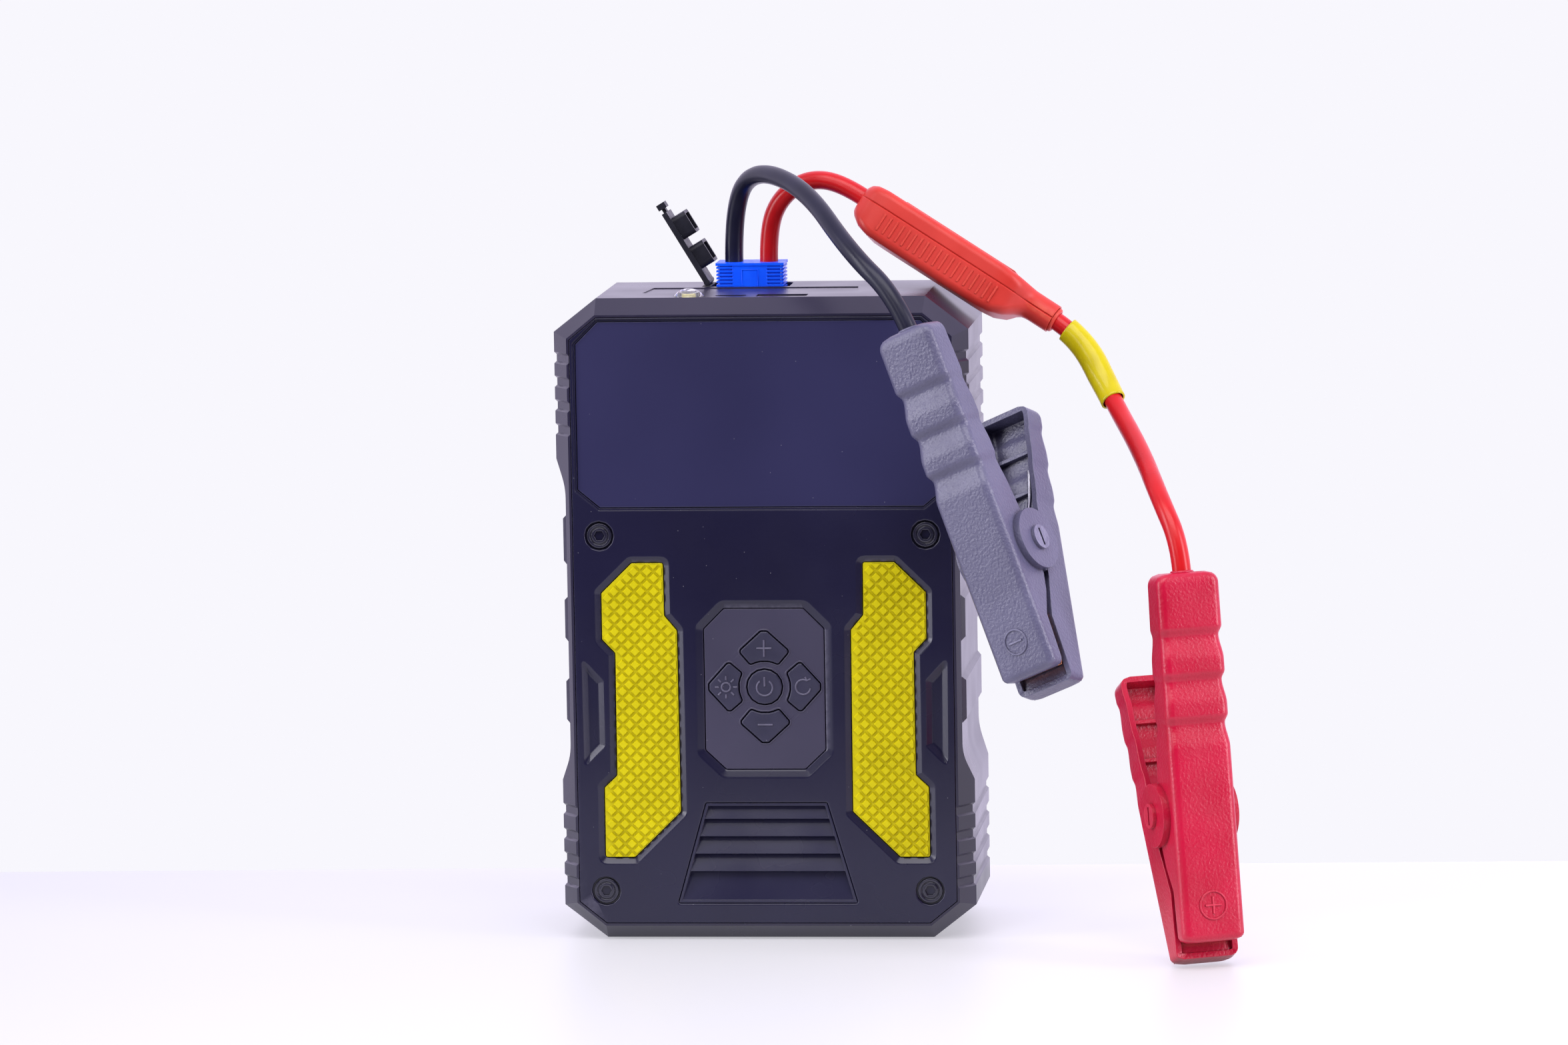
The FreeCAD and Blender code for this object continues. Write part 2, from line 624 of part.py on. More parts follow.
MODULE = frame_of(MODULE_CENTRE, MODULE_ALONG, MODULE_ACROSS)
MODULE_LEFT = MODULE.multVec(V(-(MODULE_BODY + MODULE_TAIL) / 2, 0, 0))
MODULE_RIGHT = MODULE.multVec(V((MODULE_BODY + MODULE_TAIL) / 2, 0, 0))


def module_shape():
    """The protection module's whole outside, in its own frame."""
    back = -(MODULE_BODY + MODULE_TAIL) / 2
    front = back + MODULE_BODY
    half = MODULE_WIDTH / 2
    side = [(back, -half + 4), (back + 6, -half), (front - 8, -half), (front, -5.0),
            (front, 5.0), (front - 8, half), (back + 6, half), (back, half - 4)]
    body = top_prism(side, -MODULE_LOW, MODULE_HIGH)
    profile = [(back - 1, -5.5), (back + 7, -MODULE_LOW), (front - 9, -MODULE_LOW),
               (front + 1, -4.6), (front + 1, 4.2), (front - 9, MODULE_HIGH),
               (back + 5, MODULE_HIGH), (back - 1, 3.2)]
    body = body.common(plate(profile, -half - 1, half + 1))
    tail = rod(V(front - 1, 0, 0), V(1, 0, 0), 4.3, MODULE_TAIL + 1)
    return fused([body, tail])


def module_half(upper):
    """Half of the protection module, cut at the seam, hollowed for its wire ends."""
    reach = (MODULE_BODY + MODULE_TAIL) / 2
    low, high = (0.0, 20.0) if upper else (-20.0, 0.0)
    half = module_shape().common(box(-60, 60, -20, 20, low, high))
    wire_hole = rod(V(-reach - 1, 0, 0), V(1, 0, 0), WIRE_R + 0.1, 2 * reach + 2)
    room = box(-24, 18, -8, 8, -7.4, 3.6)
    half = half.cut(wire_hole).cut(room)
    if not upper:
        ticks = [box(-24 + 2.2 * k, -23.6 + 2.2 * k, -MODULE_WIDTH / 2 - 0.2,
                     -MODULE_WIDTH / 2 + 0.5, -5.6, -0.6) for k in range(19)]
        half = fused([half] + ticks)
    return put(half, MODULE)


def module_board():
    return put(box(-23, 17, -7, 7, -3.0, -1.4), MODULE)


def clamp_profile(points, half_width, y_shift=0.0):
    """A prism over an outline in the clamp's X and Z, centred on its Y."""
    corners = [V(x, -half_width + y_shift, z) for x, z in points]
    return Part.Face(Part.makePolygon(corners + corners[:1])).extrude(V(0, 2 * half_width, 0))


FINGER_GROOVES = (-49.0, -36.1, -23.6)


def clamp_cable_half():
    """The half that takes the cable: a channel open towards the other half, with two ears."""
    outer = [(-CLAMP_TAIL, 5.0), (-CLAMP_TAIL, 12.2), (-CLAMP_TAIL + 1.2, 13.4)]
    for centre in FINGER_GROOVES:
        outer += [(centre - 4.2, 13.4), (centre - 1.8, 12.4), (centre + 1.8, 12.4),
                  (centre + 4.2, 13.4)]
    outer += [(CLAMP_NOSE - 1.5, 13.0), (CLAMP_NOSE, 11.5), (CLAMP_NOSE, 8.2), (22.0, 7.2),
              (15.0, 2.8), (9.0, 0.6), (-9.0, 0.6), (-20.0, 2.0)]
    body = clamp_profile(outer, CLAMP_HALF_WIDTH)
    inner_half = CLAMP_HALF_WIDTH - CLAMP_WALL
    hollow = [(-CLAMP_TAIL + 2.0, -9), (-CLAMP_TAIL + 2.0, 10.9), (CLAMP_NOSE - 2.0, 10.9),
              (CLAMP_NOSE - 2.0, -9)]
    body = body.cut(clamp_profile(hollow, inner_half))
    swing = rod(V(0, -CLAMP_HALF_WIDTH, 0), V(0, 1, 0), 8.8, 2 * CLAMP_HALF_WIDTH)
    body = body.cut(swing)
    pieces = [body]
    for side in (-1, 1):
        start = side * CLAMP_HALF_WIDTH
        end = start + side * 2.1
        ear = rod(V(0, start, 0), V(0, side, 0), 9.2, 2.1)
        web = box(-9.2, 9.2, min(start, end), max(start, end), 0, 11.5)
        pieces += [ear, web]
    pieces.append(rod(V(-CLAMP_TAIL + 1, 0, 8.0), V(1, 0, 0), 4.4, 7))
    whole = fused(pieces)
    whole = whole.cut(rod(V(-CLAMP_TAIL - 1, 0, 8.0), V(1, 0, 0), WIRE_R + 0.1, 10))
    return whole.cut(rod(V(0, -20, 0), V(0, 1, 0), PIN_R, 40))


def clamp_free_half():
    """The half that swings, drawn with its back along X, then turned to the shut position."""
    outer = [(-46.2, -16.2), (-46.2, -8.4), (-12.0, -5.5), (10.0, -5.2), (23.0, -3.6),
             (37.3, -8.0), (41.0, -9.2), (41.0, -15.0), (39.8, -16.2)]
    body = clamp_profile(outer, CLAMP_HALF_WIDTH)
    inner_half = CLAMP_HALF_WIDTH - CLAMP_WALL
    hollow = [(-44.4, 9), (39.2, 9), (39.2, -14.2), (-44.4, -14.2)]
    body = body.cut(clamp_profile(hollow, inner_half))
    pieces = [body]
    for side in (-1, 1):
        start = side * inner_half
        thick = CLAMP_WALL - 0.15
        pieces.append(rod(V(0, start, 0), V(0, side, 0), 8.2, thick))
        low = min(start, start + side * thick)
        pieces.append(box(-8.2, 8.2, low, low + thick, -14.5, 0))
    whole = fused(pieces).cut(rod(V(0, -20, 0), V(0, 1, 0), PIN_R + 0.06, 40))
    whole.rotate(V(0, 0, 0), V(0, 1, 0), -CLAMP_OPEN)
    return whole


def clamp_pin():
    shaft = rod(V(0, -12.0, 0), V(0, 1, 0), PIN_R, 24.0)
    heads = [rod(V(0, side * 11.7, 0), V(0, side, 0), 3.6, 1.1) for side in (-1, 1)]
    slots = [box(-2.6, 2.6, min(side * 12.3, side * 13.5), max(side * 12.3, side * 13.5), -0.4, 0.4)
             for side in (-1, 1)]
    return cut_all(fused([shaft] + heads), slots)


def clamp_spring():
    """Stand-in for the torsion spring: its coil as a sleeve, and one leg to each half."""
    coil = rod(V(0, -6, 0), V(0, 1, 0), 5.4, 12).cut(rod(V(0, -7, 0), V(0, 1, 0), 4.0, 14))
    leg_a = rod(V(0, -5, 4.7), V(-20, 0, 5.2), 0.7, 20.5)
    leg_b = rod(V(-2.0, 5, -4.3), V(-15, 0, -15), 0.7, 14.5)
    return fused([coil, leg_a, leg_b])


def toothed(points, half_width, first, last, rise):
    """A jaw plate with square-cut teeth across its gripping face."""
    body = clamp_profile(points, half_width)
    (x0, z0), (x1, z1) = first, last
    count = 7
    for k in range(count):
        share = (k + 0.5) / count
        x = x0 + (x1 - x0) * share
        z = z0 + (z1 - z0) * share
        body = body.cut(box(x - 0.45, x + 0.45, -half_width - 1, half_width + 1,
                            z - rise, z + rise))
    return body


def clamp_jaw_cable():
    plate_outline = [(20.0, 6.6), (34.9, 6.6), (34.9, 8.4), (20.0, 8.4)]
    return toothed(plate_outline, 7.7, (20.0, 6.6), (34.9, 6.6), 0.8)


def clamp_jaw_free():
    plate_outline = [(21.9, -1.6), (36.6, -7.2), (36.0, -9.0), (21.3, -3.4)]
    jaw = toothed(plate_outline, 7.7, (21.9, -1.6), (36.6, -7.2), 0.8)
    jaw.rotate(V(0, 0, 0), V(0, 1, 0), -CLAMP_OPEN)
    return jaw


CLAMP_PIECES = {"cable_half": clamp_cable_half, "free_half": clamp_free_half, "pin": clamp_pin,
                "spring": clamp_spring, "jaw_cable": clamp_jaw_cable, "jaw_free": clamp_jaw_free}
CLAMPS = {"clamp_black": frame_of(BLACK_PIVOT, BLACK_ALONG, BLACK_PIN),
          "clamp_red": frame_of(RED_PIVOT, RED_ALONG, RED_PIN)}
WIRE_ENTRY = V(-CLAMP_TAIL + 2.0, 0, 8.0)
BLACK_END = CLAMPS["clamp_black"].multVec(WIRE_ENTRY)
RED_END = CLAMPS["clamp_red"].multVec(WIRE_ENTRY)

BLACK_ROUTE = [V(-11.9, 15.75, 196.9), V(-11.9, 15.75, 214.5), V(-4.0, 5.0, 225.5),
               V(13.2, -19.0, 221.5), V(28.7, -45.0, 204.5), V(42.3, -53.5, 192.5), BLACK_END]
RED_FEED_ROUTE = [V(-1.5, 15.75, 196.9), V(-1.5, 15.75, 206.9), V(2.6, 13.6, 216.2),
                  V(11.0, 10.5, 221.8), V(21.0, 8.2, 220.9), MODULE_LEFT]
RED_TAIL_ROUTE = [MODULE_RIGHT, V(93.6, -5.2, 174.9), V(102.2, -13.0, 157.8),
                  V(111.7, -36.0, 145.5), V(118.5, -58.0, 133.8), V(124.5, -65.8, 121.5), RED_END]


def cable_sleeve():
    """The plain marker sleeve on the red lead, on the run below the module."""
    start = RED_TAIL_ROUTE[1]
    along = RED_TAIL_ROUTE[2] - start
    low = start + along * 0.25
    return rod(low, along, 3.35, along.Length * 0.29).cut(
        rod(low - along * 0.1, along, WIRE_R + 0.05, along.Length * 0.6))


# ---------------------------------------------------------------- write every piece
save("housing", housing())
save("front_cover", front_cover())
save("display_glass", display_glass())
save("display_module", display_module())
save("grip_right", grip_pad(GRIP))
save("grip_left", grip_pad(mirrored(GRIP)))
save("button_panel", button_panel())
save("button_power", power_key())
for key, key_turn in KEYS.items():
    save(key, arrow_key(key_turn))
save("control_board", control_board())
save("vent_grille", vent_grille())
for number, (screw_x, screw_z) in enumerate(SCREW_PLACES, 1):
    save("cover_screw_%d" % number, corner_screw(screw_x, screw_z))
save("usb_a_port", usb_a_port())
save("usb_c_port", usb_c_port())
save("torch_lens", torch_lens())
save("torch_led", torch_led())
save("socket_block", socket_block())
for name, x in zip(("socket_contact_left", "socket_contact_right"), contact_places()):
    save(name, socket_contact(x))
save("socket_cap", socket_cap())
for number in range(3):
    save("battery_cell_%d" % (number + 1), battery_cell(number))
save("compressor_motor", compressor_motor())
save("compressor_head", compressor_head())
save("plug_shell", plug_shell())
save("wire_black", tube(BLACK_ROUTE, WIRE_R, "wire_black"))
save("wire_red_feed", tube(RED_FEED_ROUTE, WIRE_R, "wire_red_feed"))
save("wire_red_tail", tube(RED_TAIL_ROUTE, WIRE_R, "wire_red_tail"))
save("module_base", module_half(False))
save("module_lid", module_half(True))
save("module_board", module_board())
save("cable_sleeve", cable_sleeve())
for clamp, placement in CLAMPS.items():
    for piece, build in CLAMP_PIECES.items():
        save(clamp + "_" + piece, put(build(), placement))
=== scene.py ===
"""Jump starter pack with its clamp lead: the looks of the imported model.

Everything is in the row frame. Sizes are given in millimetres and turned to metres where a mesh is
made. X runs to the right, Y from the front face to the back, Z up.
"""
import json
import math

import bmesh
import bpy
from mathutils import Matrix, Vector


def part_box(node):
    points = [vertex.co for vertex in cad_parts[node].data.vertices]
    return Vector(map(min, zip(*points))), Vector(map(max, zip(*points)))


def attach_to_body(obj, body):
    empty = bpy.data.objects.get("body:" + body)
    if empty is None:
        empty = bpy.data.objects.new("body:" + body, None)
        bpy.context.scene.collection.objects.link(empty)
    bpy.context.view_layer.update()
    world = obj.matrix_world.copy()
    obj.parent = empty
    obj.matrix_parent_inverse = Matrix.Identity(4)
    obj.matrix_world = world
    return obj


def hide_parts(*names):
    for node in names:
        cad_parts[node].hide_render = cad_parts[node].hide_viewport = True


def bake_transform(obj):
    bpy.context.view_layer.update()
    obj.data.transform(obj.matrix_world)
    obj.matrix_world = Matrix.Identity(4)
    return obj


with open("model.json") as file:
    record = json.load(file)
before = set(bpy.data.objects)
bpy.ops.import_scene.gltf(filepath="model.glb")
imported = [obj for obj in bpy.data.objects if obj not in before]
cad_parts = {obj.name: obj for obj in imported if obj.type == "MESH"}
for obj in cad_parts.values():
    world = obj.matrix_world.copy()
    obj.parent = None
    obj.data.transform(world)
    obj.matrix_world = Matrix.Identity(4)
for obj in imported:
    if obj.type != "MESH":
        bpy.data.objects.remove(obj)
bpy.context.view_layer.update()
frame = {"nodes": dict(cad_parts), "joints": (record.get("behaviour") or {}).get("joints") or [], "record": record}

NODES = frame["nodes"]
JOINTS = {joint["name"]: joint for joint in frame["joints"]}
MM = 0.001


def in_scene(name, data):
    """A new object of some data, linked to the scene."""
    made = bpy.data.objects.new(name, data)
    bpy.context.scene.collection.objects.link(made)
    return made


# ---------------------------------------------------------------- shader nodes
def put(nodes, kind, **inputs):
    """A new shader node. Its inputs are set by name, with _ for each space."""
    node = nodes.new("ShaderNode" + kind)
    for socket, value in inputs.items():
        node.inputs[socket.replace("_", " ")].default_value = value
    return node


def mix_colour(nodes, links, factor, first, second):
    """A colour mix whose ends are node outputs or plain colours."""
    mix = put(nodes, "Mix")
    mix.data_type = "RGBA"
    links.new(factor, mix.inputs[0])
    for socket, value in ((mix.inputs[6], first), (mix.inputs[7], second)):
        if isinstance(value, tuple):
            socket.default_value = (*value, 1)
        else:
            links.new(value, socket)
    return mix.outputs[2]


def noise(nodes, links, place, size_mm, detail):
    texture = put(nodes, "TexNoise", Scale=1.0 / (size_mm * MM), Detail=detail)
    links.new(place, texture.inputs["Vector"])
    return texture.outputs["Fac"]


def remapped(nodes, links, value, low, high, to_low=0.0, to_high=1.0, soft=False):
    """A value stretched from one range to another. Soft eases its ends in."""
    node = put(nodes, "MapRange", From_Min=low, From_Max=high, To_Min=to_low, To_Max=to_high)
    if soft:
        node.interpolation_type = "SMOOTHSTEP"
    links.new(value, node.inputs["Value"])
    return node.outputs["Result"]


# ---------------------------------------------------------------- camera, stage and light
bpy.context.scene.view_settings.view_transform = "Standard"

CAMERA_PLACE = Vector((0.2585, -2.42125, 0.4120))
CAMERA_AZIMUTH = math.radians(6.017)
CAMERA_ELEVATION = math.radians(6.831)
CAMERA_ROLL = math.radians(0.991)
CAMERA_LENS = 189.6
SENSOR_WIDTH = 36


def add_camera():
    """The main viewpoint: slightly from the right and from above, with a long lens."""
    flat = math.cos(CAMERA_ELEVATION)
    back = Vector((math.sin(CAMERA_AZIMUTH) * flat, -math.cos(CAMERA_AZIMUTH) * flat,
                   math.sin(CAMERA_ELEVATION)))
    right = Vector((math.cos(CAMERA_AZIMUTH), math.sin(CAMERA_AZIMUTH), 0))
    up = back.cross(right)
    x_axis = right * math.cos(CAMERA_ROLL) - up * math.sin(CAMERA_ROLL)
    y_axis = right * math.sin(CAMERA_ROLL) + up * math.cos(CAMERA_ROLL)
    data = bpy.data.cameras.new("camera")
    data.lens = CAMERA_LENS
    data.sensor_width = SENSOR_WIDTH
    data.clip_start = 0.05
    data.clip_end = 60
    camera = in_scene("camera", data)
    turn = Matrix((x_axis, y_axis, back)).transposed().to_4x4()
    camera.matrix_world = Matrix.Translation(CAMERA_PLACE) @ turn
    bpy.context.scene.camera = camera


TABLE_HALF_WIDTH = 3.0
TABLE_NEAR = -0.36            # the near edge, so that the front face mirrors the dim surround
TABLE_FAR = 0.104             # the far edge, behind the middle of the case
TABLE_FAR_TURN = math.radians(2.4)
TABLE_PALE = ((0.42, 0.42, 0.44, 1), (0.45, 0.45, 0.465, 1))
TABLE_SHADE = (0.20, 0.20, 0.215)
TABLE_FADE = (-0.50, 0.05)    # along X, from the shade to the pale part
TABLE_GLOW = 0.42
TABLE_GLOW_COLOUR = (0.95, 0.945, 1.0, 1)


def table_material():
    material = bpy.data.materials.new("table_white")
    material.use_nodes = True
    nodes, links = material.node_tree.nodes, material.node_tree.links
    shader = nodes["Principled BSDF"]
    for socket, value in (("Roughness", 0.45), ("Specular IOR Level", 0.25),
                          ("Emission Color", TABLE_GLOW_COLOUR),
                          ("Emission Strength", TABLE_GLOW)):
        shader.inputs[socket].default_value = value
    place = put(nodes, "TexCoord").outputs["Object"]
    cloud = put(nodes, "TexNoise", Scale=3.0)
    tint = put(nodes, "Mix")
    tint.data_type = "RGBA"
    tint.inputs[6].default_value, tint.inputs[7].default_value = TABLE_PALE
    across = put(nodes, "SeparateXYZ")
    links.new(place, cloud.inputs["Vector"])
    links.new(cloud.outputs["Fac"], tint.inputs[0])
    links.new(place, across.inputs[0])
    fade = remapped(nodes, links, across.outputs["X"], *TABLE_FADE)
    links.new(mix_colour(nodes, links, fade, TABLE_SHADE, tint.outputs[2]),
              shader.inputs["Base Color"])
    return material


def add_stage():
    lean = math.tan(TABLE_FAR_TURN) * TABLE_HALF_WIDTH
    corners = [(-TABLE_HALF_WIDTH, TABLE_NEAR, 0), (TABLE_HALF_WIDTH, TABLE_NEAR, 0),
               (TABLE_HALF_WIDTH, TABLE_FAR + lean, 0), (-TABLE_HALF_WIDTH, TABLE_FAR - lean, 0)]
    mesh = bpy.data.meshes.new("table")
    mesh.from_pydata(corners, [], [(0, 1, 2, 3)])
    mesh.materials.append(table_material())
    in_scene("table", mesh)


WORLD_DEPTH = (-0.75, 0.80)   # from the dim front to the bright back
WORLD_DIM = 0.05              # what lights the object from the camera's side
WORLD_LIGHT = 1.45            # what lights it from the back
WORLD_LIGHT_COLOUR = (0.85, 0.78, 1.0, 1)
WORLD_SEEN = 1.0              # what the camera sees behind the table
WORLD_PALE = (0.94, 0.93, 0.985, 1)


def add_world():
    """A pale surround that is dimmer towards the front, as behind a row of studio lights."""
    world = bpy.data.worlds.new("studio")
    bpy.context.scene.world = world
    world.use_nodes = True
    nodes, links = world.node_tree.nodes, world.node_tree.links
    nodes.clear()
    split = put(nodes, "SeparateXYZ")
    links.new(put(nodes, "TexCoord").outputs["Generated"], split.inputs[0])
    strength = remapped(nodes, links, split.outputs["Y"], *WORLD_DEPTH, WORLD_DIM, WORLD_LIGHT,
                        soft=True)
    lit = put(nodes, "Background", Color=WORLD_LIGHT_COLOUR)
    seen = put(nodes, "Background", Color=WORLD_PALE, Strength=WORLD_SEEN)
    choose = put(nodes, "MixShader")
    links.new(strength, lit.inputs["Strength"])
    links.new(put(nodes, "LightPath").outputs["Is Camera Ray"], choose.inputs["Fac"])
    links.new(lit.outputs[0], choose.inputs[1])
    links.new(seen.outputs[0], choose.inputs[2])
    links.new(choose.outputs[0], put(nodes, "OutputWorld").inputs["Surface"])


LIT_POINT = Vector((0.02, 0.0, 0.10))
SOFTBOXES = {                 # place, width, height, power, colour
    "left": ((-2.30, -1.00, 0.80), 0.7, 2.0, 36, (0.94, 0.93, 1.0)),
    "right": ((2.40, -0.90, 0.85), 0.7, 2.0, 46, (0.95, 0.91, 1.0)),
    "top": ((0.05, -1.00, 1.60), 1.7, 1.1, 24, (1.0, 0.98, 1.0)),
    "front": ((-0.9, -1.9, 0.9), 0.6, 0.6, 4, (1.0, 0.98, 1.0)),
}


def add_lights():
    for name, (place, width, height, power, colour) in SOFTBOXES.items():
        data = bpy.data.lights.new("softbox_" + name, "AREA")
        data.shape = "RECTANGLE"
        data.size = width
        data.size_y = height
        data.energy = power
        data.color = colour
        light = in_scene("softbox_" + name, data)
        light.location = place
        light.visible_camera = False
        light.rotation_euler = (LIT_POINT - Vector(place)).to_track_quat("-Z", "Y").to_euler()


# ---------------------------------------------------------------- materials
SPECK_SPACING = 4.5           # dust specks, in mm
SPECK_EDGE = (0.035, 0.02)    # their size, as a share of the spacing
SPECK_COLOUR = (0.55, 0.55, 0.62)
WEAR_AND_HIGHLIGHT_EDGE = (0.525, 0.62)     # how convex an edge is where the scuffing and painted highlight start and where they are full


def surface(name, deep, pale, rough, blotch=18.0, grain=0.35, relief=0.012, wear_and_highlight=0.0,
            worn_and_highlight_colour=(0.35, 0.34, 0.40), dust=0.0, metallic=0.0, coat=0.0, coat_rough=0.1,
            specular=0.5, transmission=0.0, ior=1.5, glow=None, painted_shade=None, stretch=None):
    """A moulded, rubber, metal or glass surface.

    Colour drifts between deep and pale over blotches. Grain is the size of the moulded texture and
    relief its height, both in mm. Convex edges are lightened, partly as scuffing and partly as a
    painted highlight, and dust leaves sparse pale specks.
    Painted shade darkens corners and hollows by ambient occlusion, with a reach in mm and the
    darkest share of the colour.
    """
    material = bpy.data.materials.new(name)
    material.use_nodes = True
    nodes, links = material.node_tree.nodes, material.node_tree.links
    shader = nodes["Principled BSDF"]
    place = put(nodes, "TexCoord").outputs["Object"]
    if stretch:
        scaled = put(nodes, "Mapping", Scale=stretch)
        links.new(place, scaled.inputs["Vector"])
        place = scaled.outputs["Vector"]
    drift = remapped(nodes, links, noise(nodes, links, place, blotch, 2.0), 0.25, 0.75, soft=True)
    colour = mix_colour(nodes, links, drift, deep, pale)
    # scuffing and painted highlight: convex edges are lightened towards a paler colour in noisy patches
    if wear_and_highlight:
        pointed = put(nodes, "NewGeometry").outputs["Pointiness"]
        edge_wear_and_highlight = put(nodes, "Math")
        edge_wear_and_highlight.operation = "MULTIPLY"
        links.new(remapped(nodes, links, pointed, *WEAR_AND_HIGHLIGHT_EDGE, 0.0, wear_and_highlight), edge_wear_and_highlight.inputs[0])
        links.new(remapped(nodes, links, noise(nodes, links, place, 2.2, 5.0), 0.35, 0.6, 0.35),
                  edge_wear_and_highlight.inputs[1])
        colour = mix_colour(nodes, links, edge_wear_and_highlight.outputs[0], colour, worn_and_highlight_colour)
    if dust:
        specks = put(nodes, "TexVoronoi", Scale=1.0 / (SPECK_SPACING * MM))
        links.new(place, specks.inputs["Vector"])
        spot = remapped(nodes, links, specks.outputs["Distance"], *SPECK_EDGE, 0.0, dust)
        colour = mix_colour(nodes, links, spot, colour, SPECK_COLOUR)
    # painted shade: ambient occlusion darkens the colour in corners and hollows
    if painted_shade:
        reach, darkest = painted_shade
        hollow = put(nodes, "AmbientOcclusion", Distance=reach * MM)
        hollow.samples = 8
        shade = remapped(nodes, links, hollow.outputs["AO"], 0.10, 0.75)
        dark = mix_colour(nodes, links, drift, tuple(c * darkest for c in deep),
                          tuple(c * darkest for c in pale))
        colour = mix_colour(nodes, links, shade, dark, colour)
    links.new(colour, shader.inputs["Base Color"])
    links.new(remapped(nodes, links, noise(nodes, links, place, blotch * 0.6, 2.0), 0.2, 0.8,
                       *rough, soft=True), shader.inputs["Roughness"])
    if relief:
        bump = put(nodes, "Bump", Strength=1.0, Distance=relief * MM)
        links.new(noise(nodes, links, place, grain, 3.0), bump.inputs["Height"])
        links.new(bump.outputs["Normal"], shader.inputs["Normal"])
    for socket, value in (("Metallic", metallic), ("Specular IOR Level", specular),
                          ("Coat Weight", coat), ("Coat Roughness", coat_rough),
                          ("Transmission Weight", transmission), ("IOR", ior)):
        shader.inputs[socket].default_value = value
    if glow:
        shader.inputs["Emission Color"].default_value = (*glow[0], 1)
        shader.inputs["Emission Strength"].default_value = glow[1]
    return material
